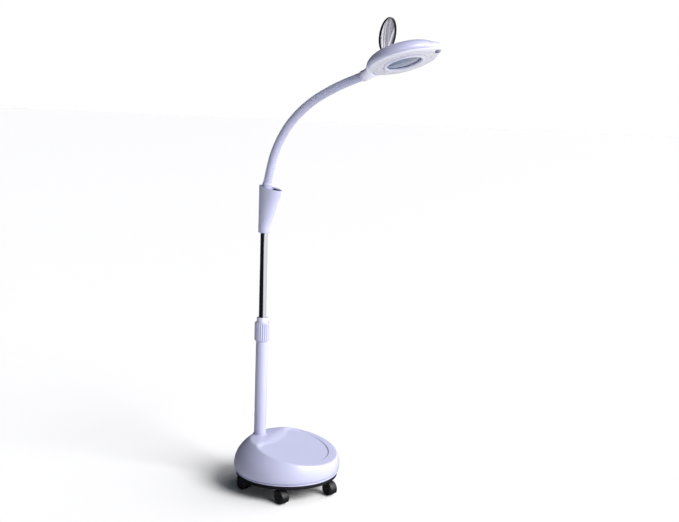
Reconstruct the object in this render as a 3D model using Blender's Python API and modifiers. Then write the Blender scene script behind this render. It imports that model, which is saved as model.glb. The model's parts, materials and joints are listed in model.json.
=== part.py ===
"""Magnifying floor lamp on five twin-wheel casters.

A round weighted base carries a telescopic column, which is clamped by a fluted nut.  A slanted
switch cup stands on the column, and a flexible neck rises from it to a round head with a lens,
a ring of light-emitting diodes round it, and a smoked lid that hinges on the neck's side.

Metres, +Z up, +X from the column towards the head.  The origin is on the floor, under the middle
of the whole lamp's box.
"""

from math import atan, cos, pi, radians, sin, sqrt

import bmesh
import bpy
from mathutils import Matrix, Vector

# Clearances
GAP = 0.0003

# Casters
WHEEL_RADIUS = 0.020
WHEEL_WIDTH = 0.0095
WHEEL_EDGE = 0.0025
WHEEL_RIM = 0.0045
WHEEL_SIDE_GAP = 0.0005
AXLE_RADIUS = 0.002
WEB_THICKNESS = 0.004
WEB_RADIUS = WHEEL_RADIUS - 0.0035
HOOD_GAP = 0.001
HOOD_WALL = 0.0016
HOOD_TILT = radians(28)
SWIVEL_BOSS_RADIUS = 0.010
SWIVEL_BOSS_GAP = 0.0024
SWIVEL_GAP = 0.0042
STEM_RADIUS = 0.004
STEM_COLLAR_RADIUS = 0.007
STEM_COLLAR_LOW = 0.002
STEM_SEAT_DEPTH = 0.0022
CASTER_OFFSET = 0.008
CASTER_COUNT = 5
CASTER_INSET = 0.023
CASTER_TRAIL = radians(-23.5)

# Base
BASE_RADIUS = 0.160
PLATE_RADIUS = BASE_RADIUS - 0.0065
PLATE_FLOOR = 0.003
PLATE_RIM = 0.0097
PLATE_EDGE = 0.002
CASTER_CIRCLE = BASE_RADIUS - CASTER_INSET
WEIGHT_THICKNESS = 0.012
COVER_WALL = 0.003
DOME_BELT = 0.0298
DOME_RISE = 0.104
PLATEAU_RISE = 0.1032
TRAY_RADIUS = BASE_RADIUS - 0.042
TRAY_CENTRE = 0.016
TRAY_RISE = 0.0909
TRAY_SLOPE = 0.205
TRAY_DEPTH = 0.0025
TRAY_WALL_LEAN = TRAY_SLOPE + 0.045
TRAY_TO_COLUMN = 0.045
SCREW_RADIUS = 0.002
SCREW_HEAD_RADIUS = 0.004
SCREW_HEAD_HEIGHT = 0.0024
SCREW_LENGTH = 0.026
POST_RADIUS = 0.0052
POST_ANGLES = (36, -36, 108, -108)
GLAND_BORE = 0.0035
GLAND_WALL = 0.0022
GLAND_FLANGE = 0.0082
GLAND_EDGE = 0.001
GLAND_ROOM = 0.002

# Column
COLUMN_OFFSET = BASE_RADIUS - 0.065
TUBE_RADIUS = 0.018
TUBE_WALL = 0.0015
TUBE_LENGTH = 0.386
SOCKET_FLANGE_RADIUS = TUBE_RADIUS + 0.012
SOCKET_FLANGE = 0.004
SPIGOT_HEIGHT = 0.028
NUT_RADIUS = TUBE_RADIUS + 0.0052
NUT_HEIGHT = 0.0573
NUT_OVERLAP = 0.0087
NUT_EDGE = 0.003
NUT_FLUTE = 0.0011
NUT_STEPS = 40
COLLET_RADIUS = TUBE_RADIUS - 0.001
COLLET_INSERT = 0.040
COLLET_FLANGE = 0.0027
COLLET_RISE = 0.0133
COLLET_EDGE = 0.001
MAST_RADIUS = 0.011
MAST_WALL = 0.0012
MAST_SHOWN = 0.258
BUSH_HEIGHT = 0.020
BUSH_TRAVEL_UP = 0.038

# Switch cup
CUP_RADIUS = MAST_RADIUS + 0.007
CUP_HEIGHT = 0.142
CUP_COLLAR = 0.030
CUP_REACH = CUP_RADIUS + 0.036
CUP_HALF_WIDTH = CUP_RADIUS + 0.0065
CUP_WALL = 0.0022
CUP_FLARE_START = 0.020
CUP_SLOPE = 0.205
CUP_RIBS = (0.36, 0.6, 0.84)
DECK_DROP = 0.004
DECK_THICKNESS = 0.0025
SWITCH_X = CUP_REACH - 0.0175
SWITCH_LENGTH = 0.021
SWITCH_WIDTH = 0.015
SWITCH_DEPTH = 0.012
SWITCH_LEDGE = 0.001
SWITCH_RIM = 0.0025
SWITCH_STAND = 0.0014
SWITCH_POCKET = 0.006
ROCKER_ROOM = 0.0006
ROCKER_TILT = radians(7)

# Neck
NECK_RADIUS = 0.0123
NECK_BALL = NECK_RADIUS - 0.0005
NECK_SOCKET = NECK_RADIUS + 0.0009
NECK_LENGTH = 0.4814
NECK_LINKS = 5
NECK_ROOT_X = 0.0035
NECK_ROOT_DROP = 0.0135
NECK_ROOT_LENGTH = 0.034
NECK_LEAN_START = radians(8)
NECK_LEAN_END = radians(69)
NECK_LEAN_SPAN = 0.978
NECK_NUT_RADIUS = NECK_RADIUS + 0.0022
NECK_NUT_HEIGHT = 0.0125
NECK_NUT_TAPER = 0.002

# Head
HEAD_PITCH = radians(20)
HEAD_ROLL = radians(7.5)
HEAD_RADIUS = 0.104
HEAD_PARTING = 0.0115
HEAD_STEP = 0.0002
HEAD_HEIGHT = 0.0400
HEAD_WALL = 0.0024
HEAD_REACH = HEAD_RADIUS + 0.025
FERRULE_LENGTH = 0.030
SLEEVE_RISE = 0.006
SLEEVE_RADIUS = NECK_RADIUS + 0.0029
# Share of the way from the well to the outer edge, and how far below the top
SHELL_CROWN = ((0.176, 0), (0.372, 0.0014), (0.608, 0.0055), (0.804, 0.0115), (0.941, 0.0190))
# How far along, how much higher, taller and wider than at its end
SLEEVE_SECTIONS = (
    (0.0, 0.0, 0.0, 0.0),
    (0.010, 0.0, 0.001, 0.002),
    (0.024, 0.003, 0.002, 0.013),
    (0.040, 0.008, 0.0015, 0.030),
    (0.056, 0.009, 0.0, 0.040),
)
LENS_RADIUS = 0.0515
LENS_EDGE = 0.003
LENS_CROWN = 0.005
LENS_SEAT = 0.0033
APERTURE_RADIUS = LENS_RADIUS - 0.003
COLLAR_WALL = 0.004
CLAMP_RING = 0.004
WELL_RADIUS = LENS_RADIUS - 0.0005
WELL_EDGE = 0.001
CHANNEL_INNER = LENS_RADIUS + 0.0095
CHANNEL_OUTER = HEAD_RADIUS - 0.011
CHANNEL_DEPTH = 0.007
CHANNEL_FLOOR = 0.0022
RING_DROP = 0.004
LED_COUNT = 20
LED_HEIGHT = 0.0012
LED_MARGIN = 0.0028
BOARD_MARGIN = 0.002
BOARD_THICKNESS = 0.0016
DIFFUSER_THICKNESS = 0.0022
NOSE_CENTRE = HEAD_RADIUS - 0.009
NOSE_RADIUS = 0.0215
NOSE_HEIGHT = 0.021
NOSE_DROP = 0.0006
NOSE_EDGE = 0.004
BUTTON_RADIUS = 0.008
BUTTON_DEPTH = 0.006
BUTTON_DOME = 0.0065
BUTTON_TRAVEL = 0.002
BUTTON_X = NOSE_CENTRE + 0.0065

# Lid
LID_RADIUS = WELL_RADIUS - 0.002
LID_OFFSET = LID_RADIUS + 0.0045
LID_WALL = 0.002
LID_EDGE = 0.003
LID_SKIRT = 0.007
LID_SKIRT_DROP = 0.0032
LID_CROWN = 0.003
LID_OPEN = radians(61)
LID_HINGE_X = -(WELL_RADIUS + 0.002)
LID_HINGE_RISE = 0.0042
LID_BARREL_RADIUS = 0.0034
LID_BARREL_HALF = 0.015
LID_LUG_WIDTH = 0.006
LID_LUG_GAP = 0.0005
LID_LUG_HALF = 0.004
LID_LUG_DROP = 0.012
LID_LUG_EDGE = 0.0025
LID_TAB_HALF = 0.0012
LID_TAB_INSET = 0.002
PIN_RADIUS = 0.0014

# Far enough past a surface for a cutter to clear it
CLEAR = 0.001

# Heights that follow from the sizes above
PLATE_Z = 2 * WHEEL_RADIUS + HOOD_GAP + HOOD_WALL + SWIVEL_GAP
COVER_Z = PLATE_Z + PLATE_RIM + GAP
WEIGHT_Z = PLATE_Z + PLATE_FLOOR + GAP
WEIGHT_TOP = WEIGHT_Z + WEIGHT_THICKNESS
SOCKET_Z = WEIGHT_TOP + GAP
TUBE_Z = SOCKET_Z + SOCKET_FLANGE + GAP
TUBE_TOP = TUBE_Z + TUBE_LENGTH
NUT_Z = TUBE_TOP - NUT_OVERLAP
NUT_TOP = NUT_Z + NUT_HEIGHT
COLLET_TOP = NUT_TOP + COLLET_RISE
COLLET_BOTTOM = TUBE_TOP - COLLET_INSERT
BUSH_TOP = COLLET_BOTTOM - BUSH_TRAVEL_UP
CUP_Z = COLLET_TOP + MAST_SHOWN
DECK_Z = CUP_Z + CUP_HEIGHT - DECK_DROP
NECK_ROOT = Vector((NECK_ROOT_X, 0, DECK_Z - NECK_ROOT_DROP))

# Colours: linear red, green, blue, then roughness and metallic
WHITE = ((0.80, 0.81, 0.90), 0.35, 0.0)
BLACK = ((0.012, 0.012, 0.014), 0.45, 0.0)
CHROME = ((0.78, 0.78, 0.80), 0.08, 1.0)
STEEL = ((0.55, 0.55, 0.56), 0.35, 1.0)
IRON = ((0.10, 0.10, 0.11), 0.70, 0.6)
GLASS = ((0.62, 0.70, 0.74), 0.03, 0.0)
PALE = ((0.85, 0.87, 0.92), 0.15, 0.0)
SMOKE = ((0.22, 0.21, 0.24), 0.08, 0.0)
GREY = ((0.30, 0.31, 0.38), 0.40, 0.0)
RUBBER = ((0.02, 0.02, 0.02), 0.80, 0.0)


# Scene helpers

def clear_scene():
    for item in list(bpy.data.objects):
        bpy.data.objects.remove(item, do_unlink=True)


def collection(name):
    made = bpy.data.collections.new(name)
    bpy.context.scene.collection.children.link(made)
    return made


def finish(item, look):
    """Give an object its own material."""
    colour, roughness, metallic = look
    made = bpy.data.materials.new(item.name + "_finish")
    made.use_nodes = True
    shader = made.node_tree.nodes["Principled BSDF"]
    shader.inputs["Base Color"].default_value = (*colour, 1)
    shader.inputs["Roughness"].default_value = roughness
    shader.inputs["Metallic"].default_value = metallic
    item.data.materials.append(made)


def empty(name, location=(0, 0, 0), parent=None, rotation=None):
    made = bpy.data.objects.new(name, None)
    made.location = location
    if rotation:
        made.rotation_euler = rotation
    made.parent = parent
    PARTS.objects.link(made)
    return made


def place(name, mesh, look=None, parent=None, location=(0, 0, 0), rotation=(0, 0, 0)):
    """Put a mesh in the scene: as a part when it has a look, and as a cutter when it has none."""
    made = bpy.data.objects.new(name, mesh)
    made.parent = parent
    made.location = location
    made.rotation_euler = rotation
    if look:
        PARTS.objects.link(made)
        finish(made, look)
    else:
        CUTTERS.objects.link(made)
        made.hide_render = True
        made.display_type = "WIRE"
    return made


def boolean(item, other, operation, solver="EXACT"):
    step = item.modifiers.new(operation.lower(), "BOOLEAN")
    step.operation = operation
    step.solver = solver
    step.object = other


def cut(item, cutter, solver="EXACT"):
    boolean(item, cutter, "DIFFERENCE", solver)


def join(item, other, solver="EXACT"):
    boolean(item, other, "UNION", solver)


def soften(mesh):
    mesh.shade_smooth()
    mesh.set_sharp_from_angle(angle=radians(35))


def to_mesh(name, bm):
    mesh = bpy.data.meshes.new(name)
    bm.to_mesh(mesh)
    bm.free()
    soften(mesh)
    return mesh


# Shapes

def profile_mesh(name, points, closed):
    """A profile in the XZ plane: down its outer side, and back up its inner side if closed."""
    mesh = bpy.data.meshes.new(name)
    edges = [(i, i + 1) for i in range(len(points) - 1)]
    if closed:
        edges.append((len(points) - 1, 0))
    mesh.from_pydata([(r, 0, z) for r, z in points], edges, [])
    return mesh


def turned(name, points, look=None, steps=24, closed=True, **where):
    """A profile turned about the object's Z axis."""
    made = place(name, profile_mesh(name, points, closed), look, **where)
    screw = made.modifiers.new("turn", "SCREW")
    screw.axis = "Z"
    screw.angle = 2 * pi
    screw.steps = steps
    screw.render_steps = steps
    screw.use_merge_vertices = True
    screw.merge_threshold = 0.00001
    return made


def baked(item):
    """The object's evaluated mesh in its own coordinates, in place of its modifiers."""
    bpy.context.view_layer.update()
    depsgraph = bpy.context.evaluated_depsgraph_get()
    mesh = bpy.data.meshes.new_from_object(item.evaluated_get(depsgraph))
    item.modifiers.clear()
    item.data = mesh
    return mesh


def add_cylinder(bm, radius, low, high, x=0, y=0, steps=20):
    where = Matrix.Translation((x, y, (low + high) / 2))
    bmesh.ops.create_cone(
        bm, cap_ends=True, segments=steps, radius1=radius, radius2=radius, depth=high - low, matrix=where
    )


def cylinders(name, rods, look=None, **where):
    """Upright cylinders, each given as radius, low end, high end, x, y and number of sides."""
    bm = bmesh.new()
    for rod in rods:
        add_cylinder(bm, *rod)
    return place(name, to_mesh(name, bm), look, **where)


def add_box(bm, low, high):
    low, high = Vector(low), Vector(high)
    where = Matrix.Translation((low + high) / 2) @ Matrix.Diagonal((*(high - low), 1))
    bmesh.ops.create_cube(bm, size=1, matrix=where)


def box(name, low, high, look=None, **where):
    bm = bmesh.new()
    add_box(bm, low, high)
    return place(name, to_mesh(name, bm), look, **where)


def loft(sections, steps=28):
    """Bridge ellipses, each given as centre, half length along local X and along local Y, and pitch."""
    bm = bmesh.new()
    loops = []
    for centre, half_x, half_y, pitch in sections:
        where = (
            Matrix.Translation(centre)
            @ Matrix.Rotation(pitch, 4, "Y")
            @ Matrix.Diagonal((half_x, half_y, 1, 1))
        )
        ring = bmesh.ops.create_circle(bm, cap_ends=False, segments=steps, radius=1, matrix=where)
        loops.append({edge for vert in ring["verts"] for edge in vert.link_edges})
    for lower, upper in zip(loops, loops[1:]):
        bmesh.ops.bridge_loops(bm, edges=list(lower | upper))
    for end in (loops[0], loops[-1]):
        bmesh.ops.edgeloop_fill(bm, edges=list(end))
    bmesh.ops.recalc_face_normals(bm, faces=bm.faces)
    return bm


def slice_off(bm, point, normal):
    """Remove what lies on the normal's side of a plane, and close the cut."""
    geometry = bm.verts[:] + bm.edges[:] + bm.faces[:]
    sliced = bmesh.ops.bisect_plane(
        bm, geom=geometry, dist=1e-7, plane_co=point, plane_no=normal, clear_outer=True
    )
    rim = [item for item in sliced["geom_cut"] if isinstance(item, bmesh.types.BMEdge)]
    bmesh.ops.edgeloop_fill(bm, edges=[edge for edge in rim if edge.is_boundary])
    bmesh.ops.recalc_face_normals(bm, faces=bm.faces)


def arc(centre, radius, start, end, count):
    """Points on an arc in a profile, from one angle to another in degrees."""
    points = []
    for i in range(count + 1):
        turn = radians(start + (end - start) * i / count)
        points.append((centre[0] + radius * cos(turn), centre[1] + radius * sin(turn)))
    return points


# Base

def caster_places():
    for k in range(CASTER_COUNT):
        turn = 2 * pi * k / CASTER_COUNT
        yield k + 1, CASTER_CIRCLE * cos(turn), CASTER_CIRCLE * sin(turn)


def post_places():
    for degrees in POST_ANGLES:
        turn = radians(degrees)
        yield CASTER_CIRCLE * cos(turn), CASTER_CIRCLE * sin(turn)


def screw_holes(name):
    top = PLATE_Z + SCREW_LENGTH + GAP
    rods = [(SCREW_RADIUS + GAP, PLATE_Z - CLEAR, top, x, y, 8) for x, y in post_places()]
    return cylinders(name, rods, parent=ROOT)


def stem_holes(name):
    low, high = PLATE_Z - CLEAR, WEIGHT_TOP + CLEAR
    rods = [(STEM_RADIUS + GAP, low, high, x, y, 12) for _, x, y in caster_places()]
    return cylinders(name, rods, parent=ROOT)


def make_base_plate():
    inner = PLATE_RADIUS - COVER_WALL
    top = PLATE_Z + PLATE_RIM
    floor = PLATE_Z + PLATE_FLOOR
    points = [
        (0, floor), (inner, floor), (inner, top), (PLATE_RADIUS, top),
        (PLATE_RADIUS, PLATE_Z + PLATE_EDGE), (PLATE_RADIUS - PLATE_EDGE, PLATE_Z), (0, PLATE_Z),
    ]
    plate = turned("base_plate", points, BLACK, steps=36, closed=False, parent=ROOT)
    cut(plate, stem_holes("plate_stem_holes"))
    cut(plate, screw_holes("plate_screw_holes"))


def make_weight():
    radius = PLATE_RADIUS - COVER_WALL - 2 * GAP
    points = [(0, WEIGHT_TOP), (radius, WEIGHT_TOP), (radius, WEIGHT_Z), (0, WEIGHT_Z)]
    weight = turned("base_weight", points, IRON, steps=32, closed=False, parent=ROOT)
    cut(weight, stem_holes("weight_stem_holes"))
    cut(weight, screw_holes("weight_screw_holes"))


def dome(name, inset, drop, foot):
    """The base's dome, smaller by inset, with its flat top and slanted tray face cut lower by drop."""
    belt = PLATE_Z + DOME_BELT
    radius = BASE_RADIUS - inset
    rise = DOME_RISE - inset
    foot_radius = PLATE_RADIUS - inset
    points = [(radius * sin(radians(a)), belt + rise * cos(radians(a))) for a in range(0, 90, 10)]
    points += [
        (radius, belt),
        (radius - 0.3 * (radius - foot_radius), (belt + COVER_Z) / 2),
        (foot_radius, COVER_Z),
    ]
    if foot < COVER_Z:
        points.append((foot_radius, foot))
    points.append((0, foot))
    solid = turned(name, points, steps=40, closed=False)
    bm = bmesh.new()
    bm.from_mesh(baked(solid))
    bpy.data.objects.remove(solid)
    slice_off(bm, (0, 0, PLATE_Z + PLATEAU_RISE - drop), (0, 0, 1))
    slice_off(bm, (0, 0, PLATE_Z + TRAY_RISE - drop), (TRAY_SLOPE, 0, 1))
    return to_mesh(name, bm)


def tray_cutter():
    """A disc with its rear cut straight, on the tray's slanted floor, its walls open past the floor's square."""
    floor = PLATE_Z + TRAY_RISE - TRAY_DEPTH
    bm = bmesh.new()
    add_cylinder(bm, TRAY_RADIUS, 0, PLATE_Z + DOME_RISE + DOME_BELT, TRAY_CENTRE, 0, 48)
    for vert in bm.verts:
        vert.co.x += TRAY_WALL_LEAN * (vert.co.z - floor + TRAY_SLOPE * vert.co.x)
    slice_off(bm, (0, 0, floor), (-TRAY_SLOPE, 0, -1))
    slice_off(bm, (TRAY_TO_COLUMN - COLUMN_OFFSET, 0, 0), (-1, 0, 0))
    return place("tray_cutter", to_mesh("tray_cutter", bm), parent=ROOT)


def make_base_cover():
    hollow = dome("cover_cavity", COVER_WALL, COVER_WALL + TRAY_DEPTH, COVER_Z - 5 * CLEAR)
    cavity = place("cover_cavity", hollow, parent=ROOT)
    posts = [(POST_RADIUS, WEIGHT_TOP + GAP, PLATE_Z + DOME_RISE, x, y, 10) for x, y in post_places()]
    cut(cavity, cylinders("cover_posts", posts, parent=ROOT))
    cover = place("base_cover", dome("base_cover", 0, 0, COVER_Z), WHITE, parent=ROOT)
    cut(cover, cavity)
    cut(cover, tray_cutter())
    top = COVER_Z + DOME_RISE + DOME_BELT
    tube_hole = [(TUBE_RADIUS + GAP, COVER_Z, top, -COLUMN_OFFSET, 0, 32)]
    cut(cover, cylinders("cover_tube_hole", tube_hole, parent=ROOT))
    cut(cover, screw_holes("cover_screw_holes"))
    gland_hole = [(GLAND_BORE + GLAND_WALL + GAP, -2 * COVER_WALL, 2 * COVER_WALL, 0, 0, 16)]
    cut(cover, cylinders("cover_gland_hole", gland_hole, parent=GLAND))


def make_cover_screws():
    for k, (x, y) in enumerate(post_places(), 1):
        head = PLATE_Z - GAP
        points = [
            (0, PLATE_Z + SCREW_LENGTH), (SCREW_RADIUS, PLATE_Z + SCREW_LENGTH), (SCREW_RADIUS, head),
            (SCREW_HEAD_RADIUS, head), (SCREW_HEAD_RADIUS * 0.8, head - SCREW_HEAD_HEIGHT),
            (0, head - SCREW_HEAD_HEIGHT),
        ]
        where = {"parent": ROOT, "location": (x, y, 0)}
        turned(f"cover_screw_{k}", points, STEEL, steps=10, closed=False, **where)


def make_cord_gland():
    """A rubber grommet in the back of the cover, with the wall held between its two flanges."""
    outside = GAP
    inside = -COVER_WALL - GLAND_ROOM
    neck = GLAND_BORE + GLAND_WALL
    rim = GLAND_FLANGE - GLAND_EDGE
    points = [
        (GLAND_BORE, outside + GLAND_WALL), (rim, outside + GLAND_WALL),
        (GLAND_FLANGE, outside + GLAND_WALL - GLAND_EDGE), (GLAND_FLANGE, outside), (neck, outside),
        (neck, inside), (rim, inside), (rim, inside - GLAND_WALL), (GLAND_BORE, inside - GLAND_WALL),
    ]
    turned("cord_gland", points, RUBBER, steps=12, parent=GLAND)


# Casters

def make_caster(k, x, y):
    """One twin-wheel caster: a fixed stem, a swivelling hood, an axle and two loose wheels."""
    swivel = empty(f"caster_{k}_swivel", (x, y, 0), ROOT, (0, 0, CASTER_TRAIL))
    stem_low = PLATE_Z - SWIVEL_GAP - STEM_SEAT_DEPTH
    stem = [
        (0, WEIGHT_TOP), (STEM_RADIUS, WEIGHT_TOP), (STEM_RADIUS, PLATE_Z - GAP),
        (STEM_COLLAR_RADIUS, PLATE_Z - GAP), (STEM_COLLAR_RADIUS, PLATE_Z - STEM_COLLAR_LOW),
        (STEM_RADIUS, PLATE_Z - STEM_COLLAR_LOW), (STEM_RADIUS, stem_low), (0, stem_low),
    ]
    where = {"parent": ROOT, "location": (x, y, 0)}
    turned(f"caster_{k}_stem", stem, STEEL, steps=12, closed=False, **where)
    axle = empty(f"caster_{k}_axle_line", (CASTER_OFFSET, 0, WHEEL_RADIUS), swivel, (pi / 2, 0, 0))
    make_housing(k, swivel, axle)
    reach = WEB_THICKNESS / 2 + WHEEL_SIDE_GAP + WHEEL_WIDTH
    pin = reach - WHEEL_EDGE
    cylinders(f"caster_{k}_axle", [(AXLE_RADIUS, -pin, pin, 0, 0, 10)], STEEL, parent=axle)
    for side, label in ((1, "right"), (-1, "left")):
        turning = (0, 0, 0) if side > 0 else (pi, 0, 0)
        where = {"parent": axle, "rotation": turning}
        turned(f"caster_{k}_wheel_{label}", wheel_profile(), BLACK, steps=18, **where)


def wheel_profile():
    low = WEB_THICKNESS / 2 + WHEEL_SIDE_GAP
    high = low + WHEEL_WIDTH
    bore = AXLE_RADIUS + GAP
    rim = WHEEL_RADIUS - WHEEL_RIM
    return [
        (bore, high - WHEEL_EDGE), (rim - WHEEL_EDGE / 2, high - WHEEL_EDGE), (rim, high),
        (WHEEL_RADIUS - WHEEL_EDGE, high), (WHEEL_RADIUS, high - WHEEL_EDGE),
        (WHEEL_RADIUS, low), (bore, low),
    ]


def make_housing(k, swivel, axle):
    """The hood over both wheels, the web between them and the boss that turns on the stem."""
    half = WEB_THICKNESS / 2 + WHEEL_SIDE_GAP + WHEEL_WIDTH
    inner = WHEEL_RADIUS + HOOD_GAP
    outer = inner + HOOD_WALL
    hood = cylinders(f"caster_{k}_housing", [(outer, -half, half, 0, 0, 18)], BLACK, parent=axle)
    pocket = half + CLEAR
    web = WEB_THICKNESS / 2
    pockets = [(inner, web, pocket, 0, 0, 18), (inner, -pocket, -web, 0, 0, 18)]
    cut(hood, cylinders(f"caster_{k}_pockets", pockets, parent=axle))
    opening = box(
        f"caster_{k}_opening", (-2 * outer, -2 * half, -2 * outer), (2 * outer, 2 * half, 0),
        parent=swivel, location=(CASTER_OFFSET, 0, WHEEL_RADIUS), rotation=(0, HOOD_TILT, 0),
    )
    cut(hood, opening)
    join(hood, cylinders(f"caster_{k}_web", [(WEB_RADIUS, -web, web, 0, 0, 14)], parent=axle))
    seat_low = PLATE_Z - SWIVEL_GAP - STEM_SEAT_DEPTH - GAP
    column = [(SWIVEL_BOSS_RADIUS, seat_low - WHEEL_EDGE, PLATE_Z - SWIVEL_BOSS_GAP, 0, 0, 12)]
    boss = cylinders(f"caster_{k}_boss", column, parent=swivel)
    cut(boss, cylinders(f"caster_{k}_boss_room", pockets, parent=axle))
    join(hood, boss, "MANIFOLD")
    seat = [(STEM_RADIUS + GAP, seat_low, PLATE_Z, 0, 0, 10)]
    cut(hood, cylinders(f"caster_{k}_seat", seat, parent=swivel))
    bore = [(AXLE_RADIUS + GAP, -WEB_THICKNESS, WEB_THICKNESS, 0, 0, 8)]
    cut(hood, cylinders(f"caster_{k}_axle_hole", bore, parent=axle))


# Column

def make_column():
    bore = TUBE_RADIUS - TUBE_WALL
    flange = SOCKET_Z + SOCKET_FLANGE
    socket = [
        (0, flange + SPIGOT_HEIGHT), (bore - GAP, flange + SPIGOT_HEIGHT), (bore - GAP, flange),
        (SOCKET_FLANGE_RADIUS, flange), (SOCKET_FLANGE_RADIUS, SOCKET_Z), (0, SOCKET_Z),
    ]
    turned("column_socket", socket, STEEL, closed=False, parent=COLUMN)
    tube = [(TUBE_RADIUS, TUBE_TOP), (TUBE_RADIUS, TUBE_Z), (bore, TUBE_Z), (bore, TUBE_TOP)]
    turned("outer_tube", tube, WHITE, parent=COLUMN)

    seat = TUBE_TOP + GAP
    hole = MAST_RADIUS + GAP
    collet = [
        (COLLET_RADIUS - COLLET_EDGE, COLLET_TOP), (COLLET_RADIUS, COLLET_TOP - COLLET_EDGE),
        (COLLET_RADIUS, seat + COLLET_FLANGE), (TUBE_RADIUS, seat + COLLET_FLANGE), (TUBE_RADIUS, seat),
        (bore - GAP, seat), (bore - GAP, COLLET_BOTTOM), (hole, COLLET_BOTTOM), (hole, COLLET_TOP),
    ]
    turned("clamp_collet", collet, WHITE, parent=COLUMN)
    make_nut(seat)

    top = CUP_Z + CUP_COLLAR
    mast_bore = MAST_RADIUS - MAST_WALL
    bottom = BUSH_TOP - BUSH_HEIGHT
    mast = [(MAST_RADIUS, top), (MAST_RADIUS, bottom), (mast_bore, bottom), (mast_bore, top)]
    turned("chrome_tube", mast, CHROME, parent=COLUMN)
    bush = [(bore - GAP, BUSH_TOP), (bore - GAP, bottom), (hole, bottom), (hole, BUSH_TOP)]
    turned("slide_bush", bush, RUBBER, parent=COLUMN)


def make_nut(seat):
    """The clamp nut: a fluted grip with rounded ends, held under its shoulder by the collet's flange."""
    edge = NUT_EDGE
    round_edge = 0.3 * edge
    shoulder = seat + COLLET_FLANGE + GAP
    points = [
        (COLLET_RADIUS + GAP, NUT_TOP), (NUT_RADIUS - edge, NUT_TOP),
        (NUT_RADIUS - round_edge, NUT_TOP - round_edge), (NUT_RADIUS, NUT_TOP - edge),
        (NUT_RADIUS, NUT_Z + edge), (NUT_RADIUS - round_edge, NUT_Z + round_edge),
        (NUT_RADIUS - edge, NUT_Z), (TUBE_RADIUS + GAP, NUT_Z), (TUBE_RADIUS + GAP, shoulder),
        (COLLET_RADIUS + GAP, shoulder),
    ]
    nut = turned("clamp_nut", points, WHITE, steps=NUT_STEPS, parent=COLUMN)
    mesh = baked(nut)
    for vert in mesh.vertices:
        reach = sqrt(vert.co.x ** 2 + vert.co.y ** 2)
        step = round(NUT_STEPS * Vector((1, 0)).angle_signed(vert.co.xy) / (2 * pi))
        if step % 2 and reach > NUT_RADIUS - 0.5 * edge:
            vert.co.xy *= (reach - NUT_FLUTE) / reach


# Switch cup

def cup_mesh(name, inset, low, cuts):
    """The flared cup's solid, smaller by inset, from a low end up, with slanted cuts."""
    high = CUP_HEIGHT + 0.02
    heights = [low, CUP_FLARE_START] if low < CUP_FLARE_START else [low]
    heights += [CUP_HEIGHT * part for part in CUP_RIBS if CUP_HEIGHT * part > low]
    heights.append(high)
    sections = []
    for height in heights:
        front = CUP_HEIGHT - CUP_SLOPE * (CUP_REACH + CUP_RADIUS)
        grown = max(0.0, (height - CUP_FLARE_START) / (front - CUP_FLARE_START))
        reach = CUP_RADIUS + (CUP_REACH - CUP_RADIUS) * grown
        width = CUP_RADIUS + (CUP_HALF_WIDTH - CUP_RADIUS) * min(grown, 1.2)
        centre = Vector(((reach - CUP_RADIUS) / 2, 0, height))
        sections.append((centre, (reach + CUP_RADIUS) / 2 - inset, width - inset, 0))
    bm = loft(sections)
    for drop, sign in cuts:
        slice_off(bm, (-CUP_RADIUS, 0, CUP_HEIGHT - drop), (sign * CUP_SLOPE, 0, sign))
    return to_mesh(name, bm)


def make_cup():
    shell = place("switch_cup", cup_mesh("switch_cup", 0, 0, [(0, 1)]), WHITE, parent=CUP)
    room = cup_mesh("cup_room", CUP_WALL, CUP_COLLAR + GAP, [])
    cut(shell, place("cup_room", room, parent=CUP))
    bore = [(MAST_RADIUS + GAP, -CLEAR, CUP_COLLAR + CLEAR, 0, 0, 32)]
    cut(shell, cylinders("cup_bore", bore, parent=CUP))

    levels = [(DECK_DROP, 1), (DECK_DROP + DECK_THICKNESS, -1)]
    deck = place("cup_deck", cup_mesh("cup_deck", CUP_WALL + GAP, CUP_COLLAR, levels), WHITE, parent=CUP)
    neck_hole = [(NECK_NUT_RADIUS + GAP, -2 * NECK_ROOT_DROP, 2 * NECK_ROOT_DROP, 0, 0, 24)]
    cut(deck, cylinders("deck_neck_hole", neck_hole, parent=NECK))
    length = SWITCH_LENGTH / 2 - SWITCH_LEDGE + GAP
    width = SWITCH_WIDTH / 2 - SWITCH_LEDGE + GAP
    low, high = (-length, -width, -SWITCH_DEPTH), (length, width, SWITCH_DEPTH)
    cut(deck, box("deck_switch_hole", low, high, parent=SWITCH))


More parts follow.
